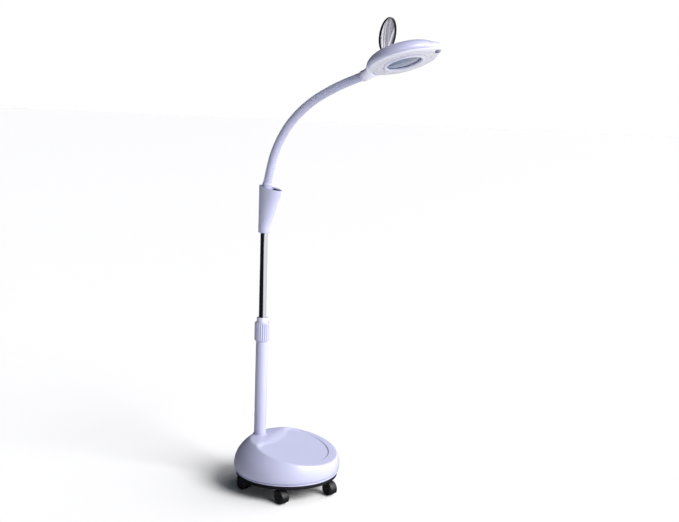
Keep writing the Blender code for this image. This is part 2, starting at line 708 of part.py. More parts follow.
def make_switch():
    length, width = SWITCH_LENGTH / 2, SWITCH_WIDTH / 2
    bm = bmesh.new()
    add_box(bm, (-length, -width, GAP), (length, width, SWITCH_STAND))
    frame = place("switch_frame", to_mesh("switch_frame", bm), BLACK, parent=SWITCH)
    body_x, body_y = length - SWITCH_LEDGE, width - SWITCH_LEDGE
    low, high = (-body_x, -body_y, -SWITCH_DEPTH), (body_x, body_y, SWITCH_STAND / 2)
    join(frame, box("switch_body", low, high, parent=SWITCH))
    inner_x, inner_y = length - SWITCH_RIM, width - SWITCH_RIM
    low, high = (-inner_x, -inner_y, -SWITCH_POCKET), (inner_x, inner_y, SWITCH_POCKET)
    cut(frame, box("switch_pocket", low, high, parent=SWITCH))

    half = inner_x - ROCKER_ROOM
    outline = [
        (-half, 0.0018), (0, 0.0006), (half, 0.0018), (half, -0.0016), (0.0025, -0.0032), (-0.0025, -0.0032),
        (-half, -0.0016),
    ]
    curve = bpy.data.curves.new("rocker", "CURVE")
    curve.dimensions = "2D"
    curve.fill_mode = "BOTH"
    curve.extrude = inner_y - ROCKER_ROOM
    spline = curve.splines.new("POLY")
    spline.points.add(len(outline) - 1)
    for point, (x, z) in zip(spline.points, outline):
        point.co = (x, z, 0, 1)
    spline.use_cyclic_u = True
    rocker = bpy.data.objects.new("rocker_curve", curve)
    CUTTERS.objects.link(rocker)
    mesh = baked_curve(rocker)
    place("switch_rocker", mesh, BLACK, parent=PIVOT, rotation=(pi / 2, 0, 0))


def baked_curve(item):
    """A filled curve as a closed mesh, in place of the curve object."""
    bpy.context.view_layer.update()
    depsgraph = bpy.context.evaluated_depsgraph_get()
    mesh = bpy.data.meshes.new_from_object(item.evaluated_get(depsgraph))
    bpy.data.objects.remove(item)
    bm = bmesh.new()
    bm.from_mesh(mesh)
    bmesh.ops.remove_doubles(bm, verts=bm.verts, dist=1e-6)
    bmesh.ops.recalc_face_normals(bm, faces=bm.faces)
    bm.to_mesh(mesh)
    bm.free()
    return mesh


# Neck

def neck_line():
    """The root, each joint's centre and the last joint, along the neck's bent middle line."""
    pieces = 480
    spacing = (NECK_LENGTH - NECK_ROOT_LENGTH) / NECK_LINKS
    wanted = [NECK_ROOT_LENGTH + spacing * k for k in range(NECK_LINKS + 1)]
    point = NECK_ROOT.copy()
    found = []
    step = NECK_LENGTH / pieces
    for i in range(pieces + 1):
        if len(found) < len(wanted) and i * step >= wanted[len(found)] - 1e-9:
            found.append(point.copy())
        lean = neck_lean((i + 0.5) / pieces)
        point += step * Vector((sin(lean), 0, cos(lean)))
    return found


def neck_lean(part):
    """The neck's lean from upright: slow at the root and at the head, quick between them."""
    eased = (1 - cos(pi * NECK_LEAN_SPAN * part ** 0.85)) / 2
    return NECK_LEAN_START + (NECK_LEAN_END - NECK_LEAN_START) * eased


def socket_points(length):
    """The hollow end that holds the next joint's ball, from its middle out to its rim."""
    rim = sqrt(NECK_SOCKET ** 2 - NECK_RADIUS ** 2)
    start = radians(-90)
    end = -atan(rim / NECK_RADIUS)
    points = [(0, length - NECK_SOCKET)]
    for i in range(1, 5):
        turn = start + (end - start) * i / 4
        points.append((NECK_SOCKET * cos(turn), length + NECK_SOCKET * sin(turn)))
    return points


def ball_points():
    """The round end, down from its widest place to its tip."""
    points = [(NECK_RADIUS, 0)]
    points += arc((0, 0), NECK_BALL, 0, -90, 4)[:-1]
    points.append((0, -NECK_BALL))
    return points


def aim(name, start, end):
    """An empty at start whose Z axis points at end, in the XZ plane."""
    way = end - start
    lean = Vector((0, 1)).angle_signed(Vector((way.x, way.z)))
    return empty(name, start, COLUMN, (0, lean, 0))


def make_neck(joints):
    root_length = (joints[0] - NECK_ROOT).length
    root = socket_points(root_length) + [
        (NECK_RADIUS, NECK_ROOT_DROP + NECK_NUT_HEIGHT + NECK_NUT_TAPER),
        (NECK_NUT_RADIUS, NECK_ROOT_DROP + NECK_NUT_HEIGHT), (NECK_NUT_RADIUS, 0), (0, 0),
    ]
    turned("neck_root", root, WHITE, steps=20, closed=False, parent=NECK)
    for k in range(NECK_LINKS):
        line = aim(f"neck_joint_{k + 1}", joints[k], joints[k + 1])
        points = socket_points((joints[k + 1] - joints[k]).length) + ball_points()
        turned(f"neck_link_{k + 1}", points, WHITE, steps=14, closed=False, parent=line)


# Head

def shell_profile(inset):
    """The upper housing's outside, from the lens well out over the crown and down to the parting line."""
    spread = HEAD_RADIUS - WELL_RADIUS - inset
    points = [(WELL_RADIUS + spread * share, HEAD_HEIGHT - inset - drop) for share, drop in SHELL_CROWN]
    return points + [(HEAD_RADIUS - inset, HEAD_PARTING + GAP)]


def sleeve_mesh(name):
    """The flared sleeve that leads the neck into the housing."""
    sections = []
    for along, rise, taller, wider in SLEEVE_SECTIONS:
        centre = Vector((0.004 - HEAD_REACH + along, 0, SLEEVE_RISE + rise))
        sections.append((centre, SLEEVE_RADIUS + taller, SLEEVE_RADIUS + wider, pi / 2))
    return to_mesh(name, loft(sections, 24))


def nose_mesh(name):
    """The grip tab at the head's front."""
    bm = bmesh.new()
    add_cylinder(bm, NOSE_RADIUS, -NOSE_DROP, NOSE_HEIGHT, NOSE_CENTRE, 0, 28)
    rims = [edge for edge in bm.edges if abs(edge.verts[0].co.z - edge.verts[1].co.z) < 1e-6]
    bmesh.ops.bevel(bm, geom=rims, offset=NOSE_EDGE, segments=2, profile=0.5, affect="EDGES", material=-1)
    return to_mesh(name, bm)


def half_space(name, low, high):
    """A wide slab between two heights, for trimming the head's additions to one housing."""
    return box(name, (-0.3, -0.3, low), (0.3, 0.3, high), parent=HEAD)


def add_to_housing(housing, label, low, high, hollow):
    """Join the sleeve and the nose to one housing, between two heights and outside its hollow."""
    for kind, mesh in (("sleeve", sleeve_mesh), ("nose", nose_mesh)):
        name = f"{label}_{kind}"
        extra = place(name, mesh(name), parent=HEAD)
        cut(extra, hollow, "MANIFOLD")
        slab = half_space(name + "_slab", low + HEAD_STEP, high - HEAD_STEP)
        boolean(extra, slab, "INTERSECT", "MANIFOLD")
        join(housing, extra, "MANIFOLD")


def upper_hollow():
    """A solid whose skin runs in the middle of the upper housing's wall."""
    middle = shell_profile(HEAD_WALL / 2)
    points = [(0, middle[0][1])] + middle + [(middle[-1][0], 0), (0, 0)]
    return turned("upper_hollow", points, steps=36, closed=False, parent=HEAD)


def make_upper_housing():
    outside = shell_profile(0)
    inside = shell_profile(HEAD_WALL)
    wall = WELL_RADIUS + HEAD_WALL
    bottom = HEAD_PARTING + GAP
    top = HEAD_HEIGHT
    points = [(WELL_RADIUS, top - WELL_EDGE), (WELL_RADIUS + WELL_EDGE, top)] + outside
    points += inside[::-1] + [(wall, inside[0][1]), (wall, bottom), (WELL_RADIUS, bottom)]
    upper = turned("head_upper_housing", points, WHITE, steps=36, parent=HEAD)
    add_to_housing(upper, "upper", bottom, 2 * HEAD_HEIGHT, upper_hollow())
    hole = cylinders("upper_ferrule_hole", ferrule_room(), parent=FERRULE)
    cut(upper, hole, "MANIFOLD")
    lugs = bmesh.new()
    inner = LID_BARREL_HALF + LID_LUG_GAP
    outer = inner + LID_LUG_WIDTH
    for low, high in ((inner, outer), (-outer, -inner)):
        add_box(lugs, (-LID_LUG_HALF, low, -LID_LUG_DROP), (LID_LUG_HALF, high, LID_LUG_HALF))
    edges = [edge for edge in lugs.edges if edge.verts[0].co.z > 0 and edge.verts[1].co.z > 0]
    along = [edge for edge in edges if abs(edge.verts[0].co.x - edge.verts[1].co.x) < 1e-6]
    bmesh.ops.bevel(
        lugs, geom=along, offset=LID_LUG_EDGE, segments=3, profile=0.5, affect="EDGES", material=-1
    )
    join(upper, place("lid_lugs", to_mesh("lid_lugs", lugs), parent=HINGE))
    bore = [(PIN_RADIUS + GAP, -outer - CLEAR, outer + CLEAR, 0, 0, 12)]
    cut(upper, cylinders("lug_bore", bore, parent=HINGE, rotation=(pi / 2, 0, 0)))


def ferrule_room():
    return [(NECK_RADIUS + GAP, -NECK_RADIUS, FERRULE_LENGTH + GAP, 0, 0, 24)]


def make_lower_housing():
    floor = CHANNEL_DEPTH + CHANNEL_FLOOR
    collar = LENS_RADIUS + 3 * GAP
    points = [
        (HEAD_RADIUS, HEAD_PARTING), (HEAD_RADIUS - 0.0004, HEAD_PARTING * 0.5),
        (HEAD_RADIUS - 0.0018, HEAD_PARTING * 0.17), (HEAD_RADIUS - 0.005, 0),
        (CHANNEL_OUTER, 0), (CHANNEL_OUTER, CHANNEL_DEPTH),
        (CHANNEL_INNER, CHANNEL_DEPTH), (CHANNEL_INNER, 0), (CHANNEL_INNER - 0.0025, -RING_DROP * 0.6),
        (CHANNEL_INNER - 0.006, -RING_DROP), (APERTURE_RADIUS + 0.002, -RING_DROP * 0.8),
        (APERTURE_RADIUS, -RING_DROP * 0.3), (APERTURE_RADIUS, LENS_SEAT - GAP), (collar, LENS_SEAT - GAP),
        (collar, HEAD_PARTING), (collar + COLLAR_WALL, HEAD_PARTING), (collar + COLLAR_WALL, floor),
        (HEAD_RADIUS - HEAD_WALL, floor), (HEAD_RADIUS - HEAD_WALL, HEAD_PARTING),
    ]
    lower = turned("head_lower_housing", points, WHITE, steps=36, parent=HEAD)
    hollow = [(HEAD_RADIUS - HEAD_WALL / 2, -HEAD_HEIGHT, HEAD_HEIGHT, 0, 0, 36)]
    inside = cylinders("lower_hollow", hollow, parent=HEAD)
    add_to_housing(lower, "lower", -HEAD_HEIGHT, HEAD_PARTING, inside)
    cut(lower, cylinders("lower_ferrule_hole", ferrule_room(), parent=FERRULE), "MANIFOLD")
    socket = [(BUTTON_RADIUS + GAP, -BUTTON_DEPTH, BUTTON_DEPTH + BUTTON_TRAVEL, 0, 0, 20)]
    cut(lower, cylinders("button_socket", socket, parent=BUTTON), "MANIFOLD")


def make_optics():
    middle = LENS_SEAT + LENS_EDGE / 2
    crown = [(APERTURE_RADIUS - 0.0008) * t for t in (0, 0.5, 0.8, 1)]
    curve = [(r, LENS_CROWN * (1 - (r / crown[-1]) ** 2)) for r in crown]
    upper = [(r, middle + LENS_EDGE / 2 + rise) for r, rise in curve]
    lower = [(r, middle - LENS_EDGE / 2 - rise) for r, rise in curve[::-1]]
    edge = [(LENS_RADIUS, middle + LENS_EDGE / 2), (LENS_RADIUS, middle - LENS_EDGE / 2)]
    turned("lens", upper + edge + lower, GLASS, steps=32, closed=False, parent=HEAD)

    low = LENS_SEAT + LENS_EDGE + GAP
    high = low + CLAMP_RING
    ring = [(LENS_RADIUS, high), (LENS_RADIUS, low), (APERTURE_RADIUS, low), (APERTURE_RADIUS, high)]
    turned("lens_retaining_ring", ring, WHITE, steps=32, parent=HEAD)

    clear = [
        (CHANNEL_OUTER - GAP, GAP + DIFFUSER_THICKNESS), (CHANNEL_OUTER - GAP, GAP),
        (CHANNEL_INNER + GAP, GAP), (CHANNEL_INNER + GAP, GAP + DIFFUSER_THICKNESS),
    ]
    turned("light_ring_cover", clear, PALE, steps=36, parent=HEAD)
    make_light_board()


def make_light_board():
    """A ring of circuit board with a row of light-emitting diodes standing down from it."""
    top = CHANNEL_DEPTH - GAP
    bottom = top - BOARD_THICKNESS
    inner, outer = CHANNEL_INNER + BOARD_MARGIN, CHANNEL_OUTER - BOARD_MARGIN
    points = [(outer, top), (outer, bottom), (inner, bottom), (inner, top)]
    blank = turned("board_blank", points, steps=2 * LED_COUNT)
    bm = bmesh.new()
    bm.from_mesh(baked(blank))
    bpy.data.objects.remove(blank)
    under = [face for face in bm.faces if face.normal.z < -0.9]
    under.sort(key=lambda face: Vector((1, 0)).angle_signed(face.calc_center_median().xy))
    seats = under[::2]
    bmesh.ops.inset_individual(bm, faces=seats, thickness=LED_MARGIN, depth=0)
    lights = bmesh.ops.extrude_discrete_faces(bm, faces=seats)["faces"]
    corners = list({vert for face in lights for vert in face.verts})
    bmesh.ops.translate(bm, verts=corners, vec=(0, 0, -LED_HEIGHT))
    place("light_board", to_mesh("light_board", bm), GREY, parent=HEAD)


def make_ferrule_and_button():
    points = [(0, FERRULE_LENGTH), (NECK_RADIUS, FERRULE_LENGTH)] + ball_points()
    turned("head_ferrule", points, WHITE, steps=20, closed=False, parent=FERRULE)
    button = [(0, BUTTON_DEPTH), (BUTTON_RADIUS, BUTTON_DEPTH), (BUTTON_RADIUS, 0)]
    button += [(BUTTON_RADIUS * cos(a), -BUTTON_DOME * sin(a)) for a in (pi / 6, pi / 3)]
    button.append((0, -BUTTON_DOME))
    turned("head_button", button, GREY, steps=20, closed=False, parent=BUTTON)


def make_lid():
    """The smoked lid: a shallow cap joined to a barrel that turns on the hinge pin."""
    rim = -LID_SKIRT_DROP
    top = rim + LID_SKIRT
    inner = LID_RADIUS - LID_WALL
    shoulder = top + LID_CROWN * 0.75
    cap = [
        (0, top + LID_CROWN), (LID_RADIUS / 2, shoulder), (LID_RADIUS - LID_EDGE, top),
        (LID_RADIUS, top - LID_WALL), (LID_RADIUS, rim), (inner, rim), (inner, top - LID_EDGE),
        (LID_RADIUS / 2, shoulder - LID_WALL), (0, top + LID_CROWN - LID_WALL),
    ]
    lid = turned("lid", cap, SMOKE, steps=32, closed=False, parent=LID, location=(LID_OFFSET, 0, 0))
    barrel = [(LID_BARREL_RADIUS, -LID_BARREL_HALF, LID_BARREL_HALF, 0, 0, 16)]
    join(lid, cylinders("lid_barrel", barrel, parent=LID, rotation=(pi / 2, 0, 0)))
    tab = LID_OFFSET - inner + LID_WALL / 2
    side = LID_BARREL_HALF - LID_TAB_INSET
    join(lid, box("lid_tab", (0, -side, -LID_TAB_HALF), (tab, side, LID_TAB_HALF), parent=LID))
    bore = [(PIN_RADIUS + GAP, -2 * LID_BARREL_HALF, 2 * LID_BARREL_HALF, 0, 0, 12)]
    cut(lid, cylinders("lid_bore", bore, parent=LID, rotation=(pi / 2, 0, 0)))
    reach = LID_BARREL_HALF + LID_LUG_WIDTH
    pin = [(PIN_RADIUS, -reach, reach, 0, 0, 12)]
    cylinders("lid_pin", pin, STEEL, parent=HINGE, rotation=(pi / 2, 0, 0))


# The frame that everything stands in

clear_scene()
PARTS = collection("magnifying_lamp")
CUTTERS = collection("cutters")

JOINTS = neck_line()
HEAD_TURN = Matrix.Rotation(-HEAD_PITCH, 3, "Y") @ Matrix.Rotation(-HEAD_ROLL, 3, "X")
HEAD_CENTRE = JOINTS[-1] + HEAD_TURN @ Vector((HEAD_REACH, 0, -SLEEVE_RISE))
TIP = (HEAD_CENTRE + HEAD_TURN @ Vector((NOSE_CENTRE + NOSE_RADIUS, 0, NOSE_EDGE))).x
MIDDLE = (TIP - COLUMN_OFFSET - BASE_RADIUS) / 2

ROOT = empty("lamp_frame", (-MIDDLE, 0, 0))
GLAND = empty("gland_line", (-BASE_RADIUS, 0, PLATE_Z + DOME_BELT), ROOT, (0, -pi / 2, 0))
COLUMN = empty("column_line", (-COLUMN_OFFSET, 0, 0), ROOT)
CUP = empty("cup_line", (0, 0, CUP_Z), COLUMN)
DECK_SWITCH = DECK_Z - CUP_SLOPE * (SWITCH_X + CUP_RADIUS)
SWITCH = empty("switch_frame_line", (SWITCH_X, 0, DECK_SWITCH), COLUMN, (0, atan(CUP_SLOPE), 0))
PIVOT = empty("rocker_pivot", (0, 0, SWITCH_STAND), SWITCH, (0, ROCKER_TILT, 0))
NECK = aim("neck_root_line", NECK_ROOT, JOINTS[0])
HEAD = empty("head_line", HEAD_CENTRE, COLUMN, HEAD_TURN.to_euler())
FERRULE = empty("ferrule_line", (-HEAD_REACH, 0, SLEEVE_RISE), HEAD, (0, pi / 2, 0))
BUTTON = empty("button_line", (BUTTON_X, 0, -NOSE_DROP), HEAD)
HINGE = empty("hinge_line", (LID_HINGE_X, 0, HEAD_HEIGHT + LID_HINGE_RISE), HEAD)
LID = empty("lid_line", (0, 0, 0), HINGE, (0, -LID_OPEN, 0))

make_base_plate()
make_weight()
make_base_cover()
make_cover_screws()
make_cord_gland()
for number, caster_x, caster_y in caster_places():
    make_caster(number, caster_x, caster_y)
make_column()
make_cup()
make_switch()
make_neck(JOINTS)
make_upper_housing()
make_lower_housing()
make_optics()
make_ferrule_and_button()
make_lid()
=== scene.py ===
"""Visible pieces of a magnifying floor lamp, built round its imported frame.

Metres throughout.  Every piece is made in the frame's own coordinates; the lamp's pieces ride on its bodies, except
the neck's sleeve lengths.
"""

import json
from math import atan2, cos, hypot, pi, radians, sin, sqrt

import bmesh
import bpy
from bpy.props import FloatProperty, FloatVectorProperty, IntProperty, PointerProperty
from bpy.types import Operator, Panel, PropertyGroup
from mathutils import Matrix, Vector


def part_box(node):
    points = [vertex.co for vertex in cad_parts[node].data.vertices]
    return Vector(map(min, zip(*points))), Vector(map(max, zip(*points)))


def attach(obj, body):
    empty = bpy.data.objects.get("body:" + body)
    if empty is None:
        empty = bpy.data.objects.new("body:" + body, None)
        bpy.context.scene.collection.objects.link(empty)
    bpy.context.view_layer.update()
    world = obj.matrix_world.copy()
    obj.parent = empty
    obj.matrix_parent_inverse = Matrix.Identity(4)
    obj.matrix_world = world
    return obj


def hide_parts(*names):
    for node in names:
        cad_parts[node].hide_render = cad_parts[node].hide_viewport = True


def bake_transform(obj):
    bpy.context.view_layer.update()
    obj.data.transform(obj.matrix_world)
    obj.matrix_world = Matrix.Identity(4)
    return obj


bl_info = {
    "name": "Magnifying Lamp Pieces",
    "version": (1, 0, 0),
    "blender": (4, 5, 0),
    "location": "View3D > Sidebar > Lamp",
    "description": "Builds the visible pieces of a magnifying floor lamp on its frame",
    "category": "Add Mesh",
}

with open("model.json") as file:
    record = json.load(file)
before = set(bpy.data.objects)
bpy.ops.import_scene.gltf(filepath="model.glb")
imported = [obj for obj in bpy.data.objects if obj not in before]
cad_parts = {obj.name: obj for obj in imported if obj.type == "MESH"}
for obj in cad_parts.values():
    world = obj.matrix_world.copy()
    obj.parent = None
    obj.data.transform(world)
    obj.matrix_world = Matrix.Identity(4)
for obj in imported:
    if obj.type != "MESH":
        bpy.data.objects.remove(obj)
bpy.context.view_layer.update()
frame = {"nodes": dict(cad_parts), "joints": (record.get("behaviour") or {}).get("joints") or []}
JOINTS = {joint["name"]: joint for joint in frame["joints"]}


# Places read from the frame

def joint_place(name):
    return Vector(JOINTS[name]["pos_m"])


def joint_axis(name):
    return Vector(JOINTS[name]["axis"]).normalized()


def middle(node):
    low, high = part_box(node)
    return (low + high) / 2


shift = Matrix.Translation
QUARTER_ABOUT_X = Matrix.Rotation(pi / 2, 4, "X")


def axes(origin, x, y, z):
    """A matrix from an origin and three directions."""
    turn = Matrix((x, y, z)).transposed().to_4x4()
    return Matrix.Translation(origin) @ turn


def along(origin, direction, side=Vector((0, 1, 0))):
    """A matrix at origin whose Z axis runs along a direction."""
    z = direction.normalized()
    x = side.cross(z).normalized()
    return axes(origin, x, z.cross(x), z)


BASE = Matrix.Translation(Vector((middle("base_plate").x, 0, 0)))
COLUMN = Matrix.Translation(Vector((joint_place("mast_turn").x, 0, 0)))
PLATE_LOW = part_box("base_plate")[0].z
COVER_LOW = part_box("base_cover")[0].z
BASE_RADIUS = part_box("base_cover")[1].y
HEAD_Y = joint_axis("lid_hinge")
HEAD_Z = joint_axis("button_press")
HEAD_X = HEAD_Y.cross(HEAD_Z).normalized()
HINGE_BACK = 0.053
HINGE_UP = 0.0442
HEAD = axes(joint_place("lid_hinge") + HINGE_BACK * HEAD_X - HINGE_UP * HEAD_Z, HEAD_X, HEAD_Y, HEAD_Z)
HOOD_TILT = radians(28)
HEADING = radians(23.5)
NECK_NAMES = [name for name in JOINTS if name.startswith("neck_")] + ["head_turn"]
NECK_POINTS = [joint_place(name) for name in NECK_NAMES]
NECK_WAY = (NECK_POINTS[0] - middle("neck_root")).normalized()
NECK_START = NECK_POINTS[0] - 0.034 * NECK_WAY
BELT = PLATE_LOW + 0.0298
DOME_RISE = 0.104
SHELF = PLATE_LOW + 0.1032
TRAY_TOP = PLATE_LOW + 0.0909
TRAY_SLOPE = 0.205
COVER_WALL = 0.0026


# Meshes

def lathe(profile, steps=96, closed=False):
    """A profile of radius and height, turned about Z."""
    bm = bmesh.new()
    verts = [bm.verts.new((max(r, 0), 0, z)) for r, z in profile]
    edges = [bm.edges.new(pair) for pair in zip(verts, verts[1:])]
    if closed:
        edges.append(bm.edges.new((verts[-1], verts[0])))
    bmesh.ops.spin(
        bm, geom=verts + edges, cent=(0, 0, 0), axis=(0, 0, 1), angle=2 * pi, steps=steps,
        use_merge=True, use_duplicate=False,
    )
    bmesh.ops.remove_doubles(bm, verts=bm.verts, dist=1e-6)
    bmesh.ops.recalc_face_normals(bm, faces=bm.faces)
    return bm


def rounded(points, radius, segments=4, closed=True):
    """A profile with its corners rounded off."""
    result = []
    count = len(points)
    for i, point in enumerate(points):
        here = Vector(point)
        if not closed and i in (0, count - 1):
            result.append(tuple(here))
            continue
        before = Vector(points[i - 1]) - here
        after = Vector(points[(i + 1) % count]) - here
        reach = min(radius, before.length * 0.45, after.length * 0.45)
        start = here + before.normalized() * reach
        end = here + after.normalized() * reach
        for k in range(segments + 1):
            t = k / segments
            result.append(tuple((1 - t) ** 2 * start + 2 * t * (1 - t) * here + t ** 2 * end))
    return result


def block(size):
    """A box about the origin."""
    bm = bmesh.new()
    bmesh.ops.create_cube(bm, size=1, matrix=Matrix.Diagonal((*size, 1)))
    return bm


def rod(radius, top, bottom, steps=64):
    """A solid cylinder about Z."""
    return lathe([(0, top), (radius, top), (radius, bottom), (0, bottom)], steps)


def bevelled(bm, edges, radius, segments=3):
    bmesh.ops.bevel(bm, geom=edges, offset=radius, segments=segments, profile=0.5, affect="EDGES", material=-1)
    return bm


def rounded_box(size, radius):
    """A box about the origin with rounded edges."""
    bm = block(size)
    return bevelled(bm, bm.edges[:], radius)


def ellipses(sections, steps=96):
    """Bridge ellipses, each given as a matrix, a half length along its X and one along its Y."""
    bm = bmesh.new()
    rings = []
    for where, half_x, half_y in sections:
        shape = where @ Matrix.Diagonal((half_x, half_y, 1, 1))
        ring = bmesh.ops.create_circle(bm, cap_ends=False, segments=steps, radius=1, matrix=shape)
        rings.append({edge for vert in ring["verts"] for edge in vert.link_edges})
    for lower, upper in zip(rings, rings[1:]):
        bmesh.ops.bridge_loops(bm, edges=list(lower | upper))
    for end in (rings[0], rings[-1]):
        bmesh.ops.edgeloop_fill(bm, edges=list(end))
    bmesh.ops.recalc_face_normals(bm, faces=bm.faces)
    return bm


def trim(bm, point, normal):
    """Remove what lies on the normal's side of a plane."""
    cut = bmesh.ops.bisect_plane(
        bm, geom=bm.verts[:] + bm.edges[:] + bm.faces[:], dist=1e-7, plane_co=point, plane_no=normal,
        clear_outer=True,
    )
    rim = [item for item in cut["geom_cut"] if isinstance(item, bmesh.types.BMEdge) and item.is_boundary]
    bmesh.ops.edgeloop_fill(bm, edges=rim)
    bmesh.ops.recalc_face_normals(bm, faces=bm.faces)
    return bm


def moved(bm, matrix):
    bmesh.ops.transform(bm, matrix=matrix, verts=bm.verts)
    return bm


def add_copy(bm, other):
    """Copy another mesh into this one."""
    mesh = bpy.data.meshes.new("copy")
    other.to_mesh(mesh)
    bm.from_mesh(mesh)
    bpy.data.meshes.remove(mesh)


def loose(bm):
    """A scratch object that holds the mesh."""
    mesh = bpy.data.meshes.new("scratch")
    bm.to_mesh(mesh)
    bm.free()
    item = bpy.data.objects.new("scratch", mesh)
    bpy.context.scene.collection.objects.link(item)
    return item


def taken(item):
    """The evaluated mesh of a scratch object, which is removed."""
    bpy.context.view_layer.update()
    seen = item.evaluated_get(bpy.context.evaluated_depsgraph_get())
    bm = bmesh.new()
    bm.from_mesh(seen.to_mesh())
    seen.to_mesh_clear()
    bpy.data.objects.remove(item)
    return bm


def combined(bm, others, operation, solver="MANIFOLD"):
    """A solid joined with or cut by others."""
    item = loose(bm)
    tools = [loose(other) for other in others]
    for tool in tools:
        step = item.modifiers.new("step", "BOOLEAN")
        step.operation = operation
        step.solver = solver
        step.object = tool
    result = taken(item)
    for tool in tools:
        bpy.data.objects.remove(tool)
    return result


def walled(bm, thickness):
    """An open sheet given a wall on its inner side."""
    item = loose(bm)
    wall = item.modifiers.new("wall", "SOLIDIFY")
    wall.thickness = thickness
    wall.offset = -1
    wall.use_even_offset = True
    return taken(item)


def merged_skin(bm, voxel, passes):
    """One smooth skin round overlapping solids."""
    item = loose(bm)
    skin = item.modifiers.new("skin", "REMESH")
    skin.mode = "VOXEL"
    skin.voxel_size = voxel
    result = taken(item)
    for _ in range(passes):
        bmesh.ops.smooth_vert(
            result, verts=result.verts, factor=0.5, use_axis_x=True, use_axis_y=True, use_axis_z=True
        )
    return result


def piece(name, bm, material, body, stands_for=(), where=None, sharp=35):
    """Put a finished mesh in the scene, riding on a body.  The material may be given as a finish's name."""
    if where is not None:
        moved(bm, where)
    mesh = bpy.data.meshes.new(name)
    bm.to_mesh(mesh)
    bm.free()
    mesh.shade_smooth()
    mesh.set_sharp_from_angle(angle=radians(sharp))
    item = bpy.data.objects.new(name, mesh)
    bpy.context.scene.collection.objects.link(item)
    item.data.materials.append(finish(material) if isinstance(material, str) else material)
    if body:
        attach(item, body)
    if stands_for:
        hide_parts(*stands_for)
    return item


def ease(low, high, value):
    t = min(max((value - low) / (high - low), 0), 1)
    return t * t * (3 - 2 * t)


def soft_min(a, b, width):
    h = min(max(0.5 + 0.5 * (b - a) / width, 0), 1)
    return b + (a - b) * h - width * h * (1 - h)


# Finishes

# Each finish's colour, the tone it drifts to, roughness, its spread, grain, relief depth and further settings.
# A colour is a setting's name or a value of its own.  A single number for the tone is a share of the colour.
SURFACES = {
    "white_moulding": ("white", "white_shade", 0.36, 0.05, 1400, 0.00006, {"coat": 0.15}),
    "white_paint": ("white", "white_shade", 0.30, 0.04, 700, 0.00008, {"coat": 0.3}),
    "white_sleeve": ("white", "white_shade", 0.48, 0.06, 2200, 0.00005, {}),
    "white_gloss": ("bright", "white", 0.16, 0.03, 900, 0.00003, {"coat": 0.6}),
    # Painted light: the head's underside is the same plastic as the walls, drawn in a lighter white to stand in for
    # light bouncing up from the floor.
    "white_bright": ("bright", 0.94, 0.30, 0.05, 1400, 0.00006, {"coat": 0.2}),
    "black_moulding": ("black", 2.2, 0.46, 0.08, 1800, 0.00012, {}),
    "black_gloss": ("black", 1.5, 0.22, 0.05, 1200, 0.00004, {"coat": 0.4}),
    "grey_moulding": ("grey", 0.8, 0.32, 0.05, 1500, 0.00006, {"coat": 0.2}),
    "chrome_plate": ("chrome", 0.93, 0.07, 0.02, 500, 0.00001, {"metallic": 1.0}),
    "tyre_rubber": ((0.016, 0.016, 0.018), (0.035, 0.035, 0.038), 0.66, 0.08, 1500, 0.0002, {}),
    "zinc_plate": ((0.60, 0.60, 0.62), (0.45, 0.45, 0.47), 0.34, 0.08, 900, 0.00004, {"metallic": 1.0}),
    "cast_iron": ((0.09, 0.09, 0.10), (0.15, 0.14, 0.14), 0.72, 0.1, 420, 0.0004, {"metallic": 0.5}),
    "grommet_rubber": ((0.02, 0.02, 0.02), (0.04, 0.04, 0.04), 0.75, 0.06, 1600, 0.0001, {}),
    "board_white": ((0.84, 0.86, 1.0), (0.78, 0.80, 0.97), 0.5, 0.08, 1100, 0.00004, {}),
    "diode": ((0.04, 0.04, 0.08), (0.02, 0.02, 0.05), 0.30, 0.05, 1500, 0.00003, {"coat": 0.4}),
    "lens_glass": ("lens", 0.9, 0.02, 0.006, 30, 0.00001, {"clear": 0.72, "ior": 1.52}),
    "clear_cover": ((0.90, 0.91, 1.0), 0.9, 0.07, 0.021, 420, 0.00004, {"clear": 0.28, "ior": 1.40}),
    "smoked_cap": ("smoke", 0.9, 0.06, 0.018, 45, 0.0001, {"clear": 0.55, "ior": 1.49}),
}
DRIFT_SCALE = 9
RELIEF_STRENGTH = 0.6
COAT_ROUGHNESS = 0.08
FINISHES = {}


def set_inputs(tree, node, values):
    """Give a node's inputs their values, or link those whose value is another node's output."""
    for key, value in values.items():
        if isinstance(value, bpy.types.NodeSocket):
            tree.links.new(value, node.inputs[key])
        else:
            node.inputs[key].default_value = value


def add_node(tree, kind, values=None, **settings):
    node = tree.nodes.new("ShaderNode" + kind)
    for key, value in settings.items():
        setattr(node, key, value)
    set_inputs(tree, node, values or {})
    return node


